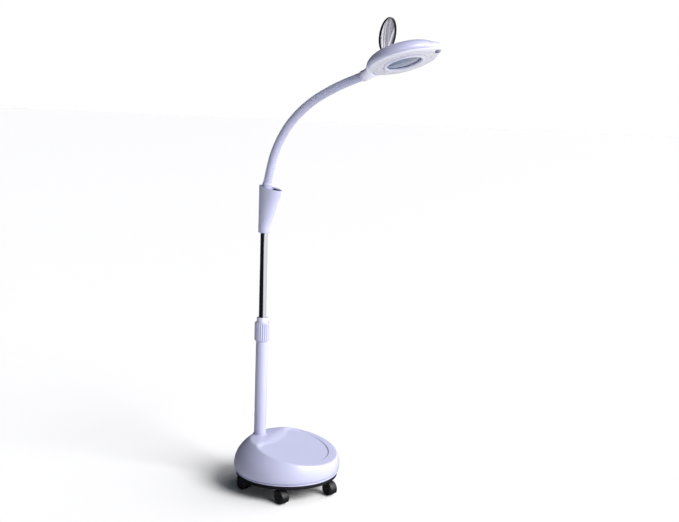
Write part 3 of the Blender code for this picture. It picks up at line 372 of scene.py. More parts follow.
def surface(name, colour, shade, roughness, spread, grain, depth, metallic=0.0, coat=0.0, clear=0.0, ior=1.5):
    """A finish with a drifting tone, uneven gloss and a fine grain in relief."""
    if name in FINISHES:
        return FINISHES[name]
    made = bpy.data.materials.new(name)
    made.use_nodes = True
    tree = made.node_tree
    shader = tree.nodes["Principled BSDF"]
    place = add_node(tree, "TexCoord").outputs["Object"]
    drift = add_node(tree, "TexNoise", {"Vector": place, "Scale": DRIFT_SCALE, "Detail": 4}).outputs["Fac"]
    tone = add_node(tree, "Mix", {"Factor": drift, "A": (*colour, 1), "B": (*shade, 1)}, data_type="RGBA")
    fine = add_node(tree, "TexNoise", {"Vector": place, "Scale": grain, "Detail": 3}).outputs["Fac"]
    gloss = add_node(tree, "MapRange", {"Value": fine, "To Min": roughness - spread, "To Max": roughness + spread})
    relief = add_node(tree, "Bump", {"Strength": RELIEF_STRENGTH, "Distance": depth, "Height": fine})
    set_inputs(tree, shader, {
        "Base Color": tone.outputs["Result"], "Roughness": gloss.outputs["Result"], "Normal": relief.outputs["Normal"],
        "Metallic": metallic, "Coat Weight": coat, "Coat Roughness": COAT_ROUGHNESS,
    })
    if clear:
        set_inputs(tree, shader, {"Transmission Weight": clear, "IOR": ior})
    FINISHES[name] = made
    return made


def finish(name):
    """The finish of that name, in the scene's own colours where the table names a setting."""
    look = bpy.context.scene.lamp_look
    colour, drift, *numbers, others = SURFACES[name]
    if isinstance(colour, str):
        colour = getattr(look, colour)
    if isinstance(drift, str):
        drift = getattr(look, drift)
    elif isinstance(drift, float):
        drift = [c * drift for c in colour]
    return surface(name, colour, drift, *numbers, **others)


def streaked_cap():
    """Smoked plastic with pale streaks running across it two ways."""
    made = finish("smoked_cap")
    tree = made.node_tree
    place = add_node(tree, "TexCoord").outputs["Object"]
    both = add_node(tree, "Math", operation="MAXIMUM")
    up = HEAD_Y.cross(Vector((1, 0, 0))).normalized()
    for k, (angle, seed) in enumerate(((10, 3.1), (-19, 8.4))):
        way = HEAD_Y * cos(radians(angle)) + up * sin(radians(angle))
        across = add_node(tree, "VectorMath", {0: place, 1: way}, operation="DOT_PRODUCT").outputs["Value"]
        shifted = add_node(tree, "Math", {0: across, 1: seed}, operation="ADD").outputs["Value"]
        bands = add_node(tree, "TexNoise", noise_dimensions="1D")
        set_inputs(tree, bands, {"W": shifted, "Scale": 75, "Detail": 1})
        sharp = add_node(tree, "MapRange", {"Value": bands.outputs["Fac"], "From Min": 0.54, "From Max": 0.66})
        set_inputs(tree, both, {k: sharp.outputs["Result"]})
    shader = tree.nodes["Principled BSDF"]
    plain = shader.inputs["Base Color"].links[0].from_socket
    streak = add_node(tree, "Mix", data_type="RGBA")
    set_inputs(tree, streak, {"Factor": both.outputs["Value"], "A": plain, "B": (0.82, 0.82, 0.92, 1)})
    set_inputs(tree, shader, {"Base Color": streak.outputs["Result"]})
    return made


# Settings

LENGTH = {"subtype": "DISTANCE", "unit": "LENGTH"}
COLOUR = {"subtype": "COLOR", "min": 0, "max": 1}


class LampShape(PropertyGroup):
    """Sizes that a user would change"""

    cover_steps: IntProperty(name="Cover steps", description="Divisions round the base cover", default=176, min=24)
    round_steps: IntProperty(name="Round steps", description="Divisions round turned pieces", default=96, min=16)
    lip_round: FloatProperty(
        name="Lip rounding", description="How softly the cover turns into its tray face", default=0.0036, min=0.0005,
        **LENGTH,
    )
    tray_depth: FloatProperty(
        name="Tray depth", description="Depth of the tray below its lip", default=0.0026, min=0.0,
        **LENGTH,
    )
    nut_ribs: IntProperty(name="Nut ribs", description="Grip ribs round the clamp nut", default=20, min=6)
    nut_flute: FloatProperty(
        name="Nut flute depth", description="Depth of the flutes between the nut's ribs", default=0.0021, min=0.0,
        **LENGTH,
    )
    sleeve_pitch: FloatProperty(
        name="Sleeve pitch", description="Spacing of the neck sleeve's rings", default=0.0050, min=0.002,
        **LENGTH,
    )
    sleeve_depth: FloatProperty(
        name="Sleeve depth", description="Depth of the neck sleeve's grooves", default=0.0014, min=0.0,
        **LENGTH,
    )
    lights: IntProperty(name="Lights", description="Diodes in the light ring", default=48, min=6)
    skin_voxel: FloatProperty(
        name="Head skin cell", description="Cell size of the head's merged skin", default=0.0016, min=0.0008,
        **LENGTH,
    )


class LampLook(PropertyGroup):
    """Colours that a user would change"""

    white: FloatVectorProperty(
        name="White", description="Main white of the mouldings", default=(0.50, 0.51, 0.69), **COLOUR,
    )
    # On the head's underside this lighter white is painted light: the same plastic as the walls, drawn lighter to
    # stand in for light bouncing up from the floor.
    bright: FloatVectorProperty(
        name="Bright white", description="White of the head's underside and the polished rings",
        default=(0.78, 0.79, 0.93), **COLOUR,
    )
    white_shade: FloatVectorProperty(
        name="White drift", description="Tone that the white drifts towards", default=(0.46, 0.47, 0.66), **COLOUR,
    )
    black: FloatVectorProperty(
        name="Black", description="Black of the casters, plate and switch", default=(0.004, 0.004, 0.006), **COLOUR,
    )
    chrome: FloatVectorProperty(
        name="Chrome", description="Tint of the chromed tube", default=(0.64, 0.64, 0.68), **COLOUR,
    )
    grey: FloatVectorProperty(
        name="Grey", description="Grey of the button", default=(0.22, 0.23, 0.30), **COLOUR,
    )
    lens: FloatVectorProperty(
        name="Lens", description="Tint of the lens", default=(0.42, 0.52, 0.72), **COLOUR,
    )
    smoke: FloatVectorProperty(
        name="Smoke", description="Tint of the lid", default=(0.30, 0.29, 0.34), **COLOUR,
    )


class StageLook(PropertyGroup):
    """The stage's lights and floor"""

    sun: FloatProperty(name="Sun", description="Strength of the main light", default=3.2, min=0)
    bright: FloatProperty(
        name="Bright side", description="Strength of the bright side's surround", default=1.75, min=0,
    )
    dark: FloatProperty(name="Dark side", description="Strength of the dark side's surround", default=0.05, min=0)
    floor: FloatVectorProperty(
        name="Floor", description="Colour of the floor", default=(0.96, 0.96, 0.97), **COLOUR,
    )


# Base

def cover_height(x, y, dome, depth, lip):
    """Height of the cover's top: a dome cut by a slanted tray face with a flat shelf behind it."""
    face = TRAY_TOP - TRAY_SLOPE * x
    tray = hypot((x - 0.013) * 1.02, y)
    inside = 1 - ease(0.1125, 0.1165, tray)
    groove = ease(0.1105, 0.1130, tray) * (1 - ease(0.1135, 0.1155, tray))
    floor = face - depth * inside - 0.0007 * groove
    spread = 0.026 - 0.017 * ease(0.035, 0.085, abs(y - 0.008))
    shelf = 1 - ease(-0.050 - spread, -0.050 + spread, x)
    level = floor + (SHELF - floor) * shelf
    return soft_min(dome, level, lip)


class LAMP_OT_base_cover(Operator):
    """Build the domed cover of the base with its slanted tray"""

    bl_idname = "lamp.base_cover"
    bl_label = "Base Cover"

    def execute(self, context):
        shape = context.scene.lamp_shape
        foot = BASE_RADIUS - 0.0065
        radii = [0.0015 * k for k in range(100)]
        radii += [BASE_RADIUS * sin(radians(a)) for a in (70, 73, 76, 79, 82, 85, 87.5)]
        side = [
            (BASE_RADIUS, BELT), (BASE_RADIUS - 0.0003, BELT - 0.004), (BASE_RADIUS - 0.0011, BELT - 0.009),
            (BASE_RADIUS - 0.0026, BELT - 0.0135), (foot + 0.0006, COVER_LOW + 0.0044),
            (foot + 0.0010, COVER_LOW + 0.0034), (foot + 0.0030, COVER_LOW + 0.0026),
            (foot + 0.0032, COVER_LOW + 0.0012), (foot + 0.0022, COVER_LOW),
        ]
        bm = lathe([(r, 0.0) for r in radii] + side, steps=shape.cover_steps)
        for vert in bm.verts:
            reach = hypot(vert.co.x, vert.co.y)
            if reach < BASE_RADIUS - 0.00001 and vert.co.z < 0.001:
                dome = BELT + DOME_RISE * sqrt(max(0, 1 - (reach / BASE_RADIUS) ** 2))
                vert.co.z = cover_height(vert.co.x, vert.co.y, dome, shape.tray_depth, shape.lip_round)
        bmesh.ops.recalc_face_normals(bm, faces=bm.faces)
        shell = walled(bm, COVER_WALL)
        column = COLUMN.translation.x - BASE.translation.x
        bore = rod(0.0183, 0.2, 0.08)
        gland = rod(0.006, 0.02, -0.02, 32)
        turned = shift((-BASE_RADIUS, 0, BELT)) @ Matrix.Rotation(pi / 2, 4, "Y")
        tools = [moved(bore, shift((column, 0, 0))), moved(gland, turned)]
        shell = combined(shell, tools, "DIFFERENCE", "EXACT")
        piece("cover_shell", shell, "white_moulding", "base", ["base_cover"], where=BASE, sharp=50)

        low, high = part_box("base_plate")
        edge, rim = high.y, high.z - low.z
        pan = rounded([
            (0, 0.003), (edge - 0.003, 0.003), (edge - 0.003, rim), (edge, rim), (edge, -0.0014),
            (edge - 0.0030, -0.0014), (edge - 0.0038, 0), (0, 0),
        ], 0.0006, 2, False)
        holes = [(joint_place(f"caster_{k}_swivel"), 0.0043) for k in range(1, 6)]
        holes += [(middle(f"cover_screw_{k}"), 0.0023) for k in range(1, 5)]
        tools = []
        for spot, radius in holes:
            hole = rod(radius, 0.02, -0.02, 32)
            tools.append(moved(hole, shift((spot.x - BASE.translation.x, spot.y, 0))))
        bm = combined(lathe(pan, shape.cover_steps), tools, "DIFFERENCE")
        place = BASE @ shift((0, 0, low.z))
        piece("base_pan", bm, "black_moulding", "base", ["base_plate"], place)

        seat = rounded([(0.0215, 0), (0.0215, 0.0016), (0.0184, 0.0022), (0.0184, 0)], 0.0007)
        place = COLUMN @ shift((0, 0, SHELF - 0.0004))
        piece("column_seat_ring", lathe(seat, 64, True), "white_moulding", "base", where=place)
        return {"FINISHED"}


# Casters

def caster_wheel():
    """One wheel about Z, with a rounded tread, a sunk face and raised spokes."""
    radius, low, high = 0.020, 0.0025, 0.012
    rim = [
        (0.0023, high - 0.0030), (0.0050, high - 0.0030), (0.0056, high - 0.0012), (0.0066, high - 0.0012),
        (0.0072, high - 0.0034), (0.0146, high - 0.0034), (0.0152, high - 0.0004), (0.0160, high),
        (radius - 0.0026, high), (radius - 0.0011, high - 0.0007), (radius - 0.0003, high - 0.0020),
        (radius, high - 0.0036), (radius, low + 0.0026), (radius - 0.0005, low + 0.0010),
        (radius - 0.0018, low), (0.0023, low),
    ]
    bm = lathe(rim, 48, True)
    spokes = []
    for face in bm.faces:
        centre = face.calc_center_median()
        if 0.0080 < hypot(centre.x, centre.y) < 0.0140 and face.normal.z > 0.9:
            turn = atan2(centre.y, centre.x) % (2 * pi / 6)
            if turn < radians(16):
                spokes.append(face)
    raised = bmesh.ops.extrude_face_region(bm, geom=spokes)["geom"]
    bmesh.ops.delete(bm, geom=spokes, context="FACES")
    tops = [item for item in raised if isinstance(item, bmesh.types.BMVert)]
    bmesh.ops.translate(bm, verts=tops, vec=(0, 0, 0.0020))
    return bm


def caster_hood(offset, height):
    """The hood over both wheels, the web between them and the boss, in the swivel's own axes."""
    half = 0.012
    wall = rounded([(0.0226, half), (0.0210, half), (0.0210, -half), (0.0226, -half)], 0.0007, 3)
    hood = lathe(wall, 72, True)
    trim(hood, (0, 0, 0), Vector((-sin(HOOD_TILT), -cos(HOOD_TILT), 0)))
    web = rounded([(0.0024, 0.0019), (0.0218, 0.0019), (0.0218, -0.0019), (0.0024, -0.0019)], 0.0004, 2)
    web = lathe(web, 72, True)
    lower = rod(0.03, 0.01, -0.01, 48)
    trim(lower, (0, 0, 0), Vector((sin(HOOD_TILT), cos(HOOD_TILT), 0)))
    ring = lathe([(0.0165, 0.012), (0.03, 0.012), (0.03, -0.012), (0.0165, -0.012)], 48, True)
    lower = combined(lower, [ring], "INTERSECT")
    web = combined(web, [lower], "DIFFERENCE")
    hood = combined(hood, [web], "UNION")
    axle = shift((offset, 0, height)) @ QUARTER_ABOUT_X
    moved(hood, axle)
    top = PLATE_LOW - 0.0026
    boss = lathe(rounded([
        (0.0043, top), (0.0088, top), (0.0100, top - 0.0014), (0.0100, top - 0.0052), (0.0116, top - 0.0066),
        (0.0116, 0.0385), (0.0043, 0.0385),
    ], 0.0006, 3), 48, True)
    rooms = []
    for side in (1, -1):
        room = rod(0.0210, 0.020, 0)
        rooms.append(moved(room, axle @ shift((0, 0, 0.0020 if side > 0 else -0.0220))))
    boss = combined(boss, rooms, "DIFFERENCE")
    return combined(hood, [boss], "UNION")


class LAMP_OT_casters(Operator):
    """Build the five casters: a hood and two wheels each"""

    bl_idname = "lamp.casters"
    bl_label = "Casters"

    def execute(self, context):
        for k in range(1, 6):
            swivel = joint_place(f"caster_{k}_swivel")
            axle = joint_place(f"caster_{k}_wheel_left_spin")
            reach = axle - swivel
            turn = atan2(reach.y, reach.x)
            where = shift((swivel.x, swivel.y, 0)) @ Matrix.Rotation(turn, 4, "Z")
            offset = hypot(reach.x, reach.y)
            hood = caster_hood(offset, axle.z)
            piece(
                f"caster_{k}_hood", hood, "black_moulding", f"caster_{k}", [f"caster_{k}_housing"],
                where, sharp=32,
            )
            for side, flip in (("right", 0), ("left", pi)):
                place = (
                    where @ shift((offset, 0, axle.z)) @ Matrix.Rotation(pi / 2 + flip, 4, "X")
                )
                node = f"caster_{k}_wheel_{side}"
                piece(f"{node}_rim", caster_wheel(), "tyre_rubber", node, [node], place)
        return {"FINISHED"}


# Column

class LAMP_OT_column(Operator):
    """Build the column's tubes, the clamp nut and the collet"""

    bl_idname = "lamp.column"
    bl_label = "Column"

    def execute(self, context):
        shape = context.scene.lamp_shape
        steps = shape.round_steps
        low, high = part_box("outer_tube")
        radius = (high.x - low.x) / 2
        inner = radius - 0.0015
        tube = rounded([(radius, high.z), (radius, low.z), (inner, low.z), (inner, high.z)], 0.0006)
        piece("column_tube", lathe(tube, steps, True), "white_paint", "base", ["outer_tube"], COLUMN)

        low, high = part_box("clamp_collet")
        nut_low, nut_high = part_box("clamp_nut")
        tube_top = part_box("outer_tube")[1].z
        ring = rounded([
            (0.0114, high.z), (0.0170, high.z), (0.0170, high.z - 0.0040), (0.0163, high.z - 0.0048),
            (0.0163, high.z - 0.0060), (0.0170, high.z - 0.0068), (0.0170, tube_top + 0.0030),
            (0.0180, tube_top + 0.0030), (0.0180, tube_top + 0.0003), (0.0162, tube_top + 0.0003),
            (0.0162, low.z), (0.0114, low.z),
        ], 0.0008, 3)
        piece("collet_ring", lathe(ring, steps, True), "white_gloss", "base", ["clamp_collet"], where=COLUMN)

        grip = (nut_high.x - nut_low.x) / 2
        outline = rounded([
            (0.0174, nut_high.z), (grip - 0.0026, nut_high.z), (grip - 0.0008, nut_high.z - 0.0022),
            (grip, nut_high.z - 0.0060), (grip, (nut_low.z + nut_high.z) / 2), (grip, nut_low.z + 0.0060),
            (grip - 0.0008, nut_low.z + 0.0022), (grip - 0.0026, nut_low.z), (0.0184, nut_low.z),
            (0.0184, tube_top + 0.0034), (0.0174, tube_top + 0.0034),
        ], 0.0012, 3)
        nut = lathe(outline, shape.nut_ribs * 8, True)
        top, bottom = nut_high.z - 0.0045, nut_low.z + 0.0045
        for vert in nut.verts:
            reach = hypot(vert.co.x, vert.co.y)
            if reach > grip - 0.0015:
                turn = atan2(vert.co.y, vert.co.x)
                wave = 0.5 - 0.5 * cos(shape.nut_ribs * turn)
                fade = ease(bottom - 0.004, bottom + 0.001, vert.co.z)
                fade *= 1 - ease(top - 0.001, top + 0.004, vert.co.z)
                scale = (reach - shape.nut_flute * wave ** 2 * fade) / reach
                vert.co.x *= scale
                vert.co.y *= scale
        piece("clamp_nut_grip", nut, "white_moulding", "clamp_nut", ["clamp_nut"], where=COLUMN, sharp=50)

        low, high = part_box("chrome_tube")
        mast = (high.x - low.x) / 2
        bright = rounded([(mast, high.z), (mast, low.z), (mast - 0.0012, low.z), (mast - 0.0012, high.z)], 0.0004)
        piece("mast_tube", lathe(bright, steps, True), "chrome_plate", "mast", ["chrome_tube"], COLUMN)
        return {"FINISHED"}


# Switch cup

CUP_SLOPE = 0.205


def cup_sections(inset, heights):
    base = 0.018
    for height in heights:
        grown = max(0.0, (height - 0.020) / (0.142 - CUP_SLOPE * 0.072 - 0.020))
        reach = base + 0.036 * grown
        width = base + 0.0065 * min(grown, 1.2)
        centre = shift(((reach - base) / 2, 0, height))
        yield centre, (reach + base) / 2 - inset, width - inset


class LAMP_OT_switch_cup(Operator):
    """Build the flared cup, its sunk deck, the neck's boss and the rocker switch"""

    bl_idname = "lamp.switch_cup"
    bl_label = "Switch Cup"

    def execute(self, context):
        steps = context.scene.lamp_shape.round_steps
        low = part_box("switch_cup")[0].z
        cup = COLUMN @ shift((0, 0, low))
        heights = [0.0, 0.010, 0.018, 0.022, 0.030, 0.045, 0.060, 0.075, 0.090, 0.105, 0.120, 0.135, 0.162]
        bm = ellipses(list(cup_sections(0, heights)), steps)
        floor = [edge for edge in bm.edges if max(vert.co.z for vert in edge.verts) < 0.0001]
        bevelled(bm, floor, 0.0022, 4)
        trim(bm, (-0.018, 0, 0.142), Vector((CUP_SLOPE, 0, 1)))
        hollow = ellipses(list(cup_sections(0.0022, [0.030, 0.045, 0.060, 0.090, 0.120, 0.135, 0.170])), steps)
        bore = rod(0.0113, 0.04, -0.01)
        bm = combined(bm, [hollow, bore], "DIFFERENCE", "EXACT")
        rim = Vector((CUP_SLOPE, 0, 1)).normalized()
        edges = []
        for edge in bm.edges:
            heights_off = [(vert.co - Vector((-0.018, 0, 0.142))).dot(rim) for vert in edge.verts]
            if min(heights_off) > -0.00001 and len(edge.link_faces) == 2:
                if edge.calc_face_angle(0) > radians(40):
                    edges.append(edge)
        bevelled(bm, edges, 0.0006)
        piece("cup_shell", bm, "white_moulding", "mast", ["switch_cup"], where=cup, sharp=40)

        deck = ellipses(list(cup_sections(0.0026, [0.100, 0.110, 0.120, 0.130, 0.140, 0.150])), steps)
        trim(deck, (-0.018, 0, 0.138), Vector((CUP_SLOPE, 0, 1)))
        trim(deck, (-0.018, 0, 0.1355), Vector((-CUP_SLOPE, 0, -1)))
        neck = along(NECK_START, NECK_POINTS[0] - NECK_START)
        room = moved(rod(0.0148, 0.04, -0.03), cup.inverted() @ neck)
        deck = combined(deck, [room], "DIFFERENCE", "EXACT")
        piece("cup_deck_plate", deck, "white_moulding", "mast", ["cup_deck"], where=cup, sharp=40)

        boss = rounded([
            (0.0, 0.0), (0.0145, 0.0), (0.0145, 0.0150), (0.0139, 0.0160), (0.0145, 0.0170), (0.0144, 0.0205),
            (0.0132, 0.0235), (0.0128, 0.0265), (0.0, 0.0265),
        ], 0.0010, 3, False)
        piece("neck_boss", lathe(boss, 64), "white_sleeve", "mast", ["neck_root"], neck)
        self.add_switch()
        return {"FINISHED"}

    def add_switch(self):
        pivot = joint_place("switch_rock")
        lean = atan2(CUP_SLOPE, 1)
        seat = Matrix.Translation(pivot) @ Matrix.Rotation(lean, 4, "Y")
        frame_bm = moved(rounded_box((0.0210, 0.0150, 0.0013), 0.0005), shift((0, 0, 0.0004)))
        body = moved(rounded_box((0.0188, 0.0128, 0.0120), 0.0004), shift((0, 0, -0.0068)))
        well = moved(rounded_box((0.0160, 0.0100, 0.0160), 0.0003), shift((0, 0, 0.0010)))
        frame_bm = combined(frame_bm, [body], "UNION", "EXACT")
        frame_bm = combined(frame_bm, [well], "DIFFERENCE", "EXACT")
        piece("switch_surround", frame_bm, "black_moulding", "mast", ["switch_frame"], seat)

        bm = block((0.0148, 0.0086, 0.0042))
        long_edges = [e for e in bm.edges if abs(e.verts[0].co.x - e.verts[1].co.x) > 0.01]
        bmesh.ops.subdivide_edges(bm, edges=long_edges, cuts=9, use_grid_fill=True)
        for vert in bm.verts:
            part = vert.co.x / 0.0074
            if vert.co.z > 0:
                vert.co.z = 0.0020 + 0.0022 * part * part
            else:
                vert.co.z = -0.0032 + 0.0016 * abs(part)
        bevelled(bm, [e for e in bm.edges if len(e.link_faces) == 2 and e.calc_face_angle(0) > radians(50)], 0.0005)
        tilt = Matrix.Translation(pivot) @ Matrix.Rotation(lean + radians(7), 4, "Y")
        piece("switch_paddle", bm, "black_moulding", "rocker", ["switch_rocker"], tilt)


# Neck

def neck_curve():
    """Points every millimetre along a smooth line through the neck's joints, with the distance gone."""
    knots = [NECK_START] + NECK_POINTS + [NECK_POINTS[-1] + 0.030 * HEAD_X]
    slopes = [NECK_WAY]
    for before, after in zip(knots, knots[2:]):
        slopes.append((after - before).normalized())
    slopes.append(HEAD_X)
    line = [(0.0, NECK_START)]
    marks = [0.0]
    for i in range(len(knots) - 1):
        a, b = knots[i], knots[i + 1]
        span = (b - a).length
        count = max(8, int(span / 0.001))
        for k in range(1, count + 1):
            t = k / count
            h = ((1 + 2 * t) * (1 - t) ** 2, t * (1 - t) ** 2, t * t * (3 - 2 * t), t * t * (t - 1))
            point = h[0] * a + h[1] * span * slopes[i] + h[2] * b + h[3] * span * slopes[i + 1]
            line.append((line[-1][0] + (point - line[-1][1]).length, point))
        marks.append(line[-1][0])
    return line, marks


def on_line(line, distance):
    """The place and direction a distance along the line."""
    low, high = 0, len(line) - 1
    while high - low > 1:
        mid = (low + high) // 2
        if line[mid][0] <= distance:
            low = mid
        else:
            high = mid
    a, b = line[low], line[high]
    t = (distance - a[0]) / (b[0] - a[0])
    before = line[max(low - 4, 0)][1]
    after = line[min(high + 4, len(line) - 1)][1]
    return a[1].lerp(b[1], t), (after - before).normalized()


# Share of the way along one ring of the sleeve, and share of the groove's depth there
RING_SHAPE = ((0.0, 1.0), (0.14, 0.86), (0.28, 0.22), (0.42, 0.0), (0.58, 0.0), (0.72, 0.22), (0.86, 0.86))
SLEEVE_RADIUS = 0.0127


class LAMP_OT_neck(Operator):
    """Build the neck's corrugated sleeve in lengths, each shaped along the neck's curve across one joint"""

    bl_idname = "lamp.neck"
    bl_label = "Flexible Neck"

    def execute(self, context):
        shape = context.scene.lamp_shape
        line, marks = neck_curve()
        pitch = shape.sleeve_pitch
        ends = [0.026]
        for a, b in zip(marks[1:6], marks[2:7]):
            ends.append(round((a + b) / 2 / pitch) * pitch)
        ends.append(marks[6] + 0.010)
        for k in range(6):
            start, end = ends[k], ends[k + 1]
            rings = max(1, round((end - start) / pitch))
            step = (end - start) / rings
            profile = [(0, start)]
            for i in range(rings):
                z = start + i * step
                for part, drop in RING_SHAPE:
                    profile.append((SLEEVE_RADIUS - shape.sleeve_depth * drop, z + part * step))
            profile += [(SLEEVE_RADIUS - shape.sleeve_depth, end), (0, end)]
            bm = lathe(profile, 40)
            for vert in bm.verts:
                point, way = on_line(line, vert.co.z)
                side = Vector((0, 1, 0)).cross(way).normalized()
                vert.co = point + vert.co.x * side + vert.co.y * way.cross(side)
            bmesh.ops.recalc_face_normals(bm, faces=bm.faces)
            stands_for = [f"neck_link_{k}"] if k else []
            sleeve = piece(f"neck_sleeve_{k + 1}", bm, "white_sleeve", None, stands_for, sharp=60)
            way = on_line(line, marks[k + 1])[1]
            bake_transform(sleeve)
        return {"FINISHED"}


# Head

def head_solid():
    """The head's outside as overlapping solids: a disc, a flared sleeve and a nose."""
    disc = lathe([
        (0, 0.0404), (0.0500, 0.0404), (0.0603, 0.0400), (0.0707, 0.0387), (0.0780, 0.0369), (0.0840, 0.0345),
        (0.0893, 0.0316), (0.0940, 0.0280), (0.0980, 0.0240), (0.1010, 0.0198), (0.1030, 0.0155), (0.1040, 0.0115),
        (0.1036, 0.0086), (0.1020, 0.0062), (0.0990, 0.0038), (0.0950, 0.0012), (0.0925, 0), (0, 0),
    ], 128)
    rows = (
        (-0.1250, 0.0060, 0.0152, 0.0156), (-0.1180, 0.0062, 0.0154, 0.0180), (-0.1110, 0.0070, 0.0156, 0.0224),
        (-0.1040, 0.0084, 0.0158, 0.0292), (-0.0970, 0.0104, 0.0160, 0.0384), (-0.0900, 0.0126, 0.0161, 0.0492),
        (-0.0830, 0.0146, 0.0160, 0.0590), (-0.0750, 0.0162, 0.0157, 0.0685), (-0.0600, 0.0175, 0.0150, 0.0790),
    )
    turn = Matrix.Rotation(pi / 2, 4, "Y")
    sleeve = ellipses([(shift((x, 0, z)) @ turn, high, wide) for x, z, high, wide in rows], 64)
    nose = lathe([
        (0, 0.0204), (0.0150, 0.0204), (0.0190, 0.0190), (0.0209, 0.0160), (0.0215, 0.0120), (0.0215, 0.0060),
        (0.0208, 0.0022), (0.0185, 0.0002), (0.0150, -0.0006), (0, -0.0006),
    ], 64)
    moved(nose, shift((0.095, 0, 0)))
    apron = lathe([
        (0, 0.0330), (0.0800, 0.0330), (0.0930, 0.0270), (0.1000, 0.0195), (0.1030, 0.0130), (0.1025, 0.0070),
        (0.0990, 0.0038), (0.0925, 0.0004), (0, 0.0004),
    ], 96)
    add_copy(apron, nose)
    hull = bmesh.ops.convex_hull(apron, input=apron.verts)
    spare = [item for item in hull["geom_interior"] + hull["geom_unused"] if isinstance(item, bmesh.types.BMVert)]
    bmesh.ops.delete(apron, geom=list(set(spare)), context="VERTS")
    whole = bmesh.new()
    for part in (disc, sleeve, nose, apron):
        add_copy(whole, part)
        part.free()
    return whole


class LAMP_OT_head_shell(Operator):
    """Build the head's two housings with the lens well, the light channel and the lid's lugs"""

    bl_idname = "lamp.head_shell"
    bl_label = "Head Shell"

    def execute(self, context):
        shape = context.scene.lamp_shape
        skin = merged_skin(head_solid(), shape.skin_voxel, 5)
        upper = combined(skin.copy(), [self.lower_room(0.0004)], "DIFFERENCE")
        lower = combined(skin, [self.lower_room(0)], "INTERSECT")

        well = lathe([
            (0, 0.06), (0.0540, 0.06), (0.0540, 0.0400), (0.0522, 0.0388), (0.0510, 0.0370), (0.0510, 0), (0, 0),
        ], 128)
        upper = combined(upper, [well], "DIFFERENCE")
        lugs = []
        for side in (1, -1):
            lug = block((0.008, 0.006, 0.016))
            tops = [
                e for e in lug.edges
                if min(v.co.z for v in e.verts) > 0 and abs(e.verts[0].co.x - e.verts[1].co.x) < 1e-6
            ]
            bevelled(lug, tops, 0.0035, 6)
            lugs.append(moved(lug, shift((-HINGE_BACK, side * 0.0185, HINGE_UP - 0.004))))
        upper = combined(upper, lugs, "UNION")
        pin = rod(0.0017, 0.03, -0.03, 24)
        bore = shift((-HINGE_BACK, 0, HINGE_UP)) @ QUARTER_ABOUT_X
        upper = combined(upper, [moved(pin, bore)], "DIFFERENCE")
        piece("head_top_shell", upper, "white_moulding", "head", ["head_upper_housing"], where=HEAD, sharp=38)

        opening = rod(0.0525, 0.05, -0.05, 128)
        channel = lathe(rounded([
            (0.0610, 0.0070), (0.0930, 0.0070), (0.0930, 0.0032), (0.0910, 0.0026), (0.0910, -0.02), (0.0610, -0.02),
        ], 0.0006, 2), 128, True)
        socket = rod(0.0083, 0.008, -0.02, 48)
        press = HEAD.inverted() @ middle("head_button")
        moved(socket, shift((press.x, press.y, 0)))
        lower = combined(lower, [opening, channel, socket], "DIFFERENCE")
        # The underside's lighter white is painted light from the floor's bounce, not a different plastic.
        piece("head_under_shell", lower, "white_bright", "head", ["head_lower_housing"], where=HEAD, sharp=38)

        ring = rounded([
            (0.0608, 0.0000), (0.0595, -0.0026), (0.0550, -0.0040), (0.0505, -0.0034), (0.0485, -0.0012),
            (0.0485, 0.0029), (0.0522, 0.0029), (0.0522, 0.0110), (0.0562, 0.0110), (0.0562, 0.0066), (0.0608, 0.0066),
        ], 0.0014, 4)
        piece("lens_bezel", lathe(ring, 128, True), "white_gloss", "head", where=HEAD)
        return {"FINISHED"}

    def lower_room(self, gap):
        """The space below the parting, which steps up inside the rim and behind the disc."""
        high, low = 0.0115, 0.0042
        core = rod(0.0945 + gap, high + gap, -0.03, 128)
        parts = []
        for left, right, top in ((-0.2, 0.2, low + gap), (-0.2, -0.0865 + gap, high + gap)):
            part = block((right - left, 0.4, top + 0.03))
            parts.append(moved(part, shift(((left + right) / 2, 0, (top - 0.03) / 2))))
        return combined(core, parts, "UNION")


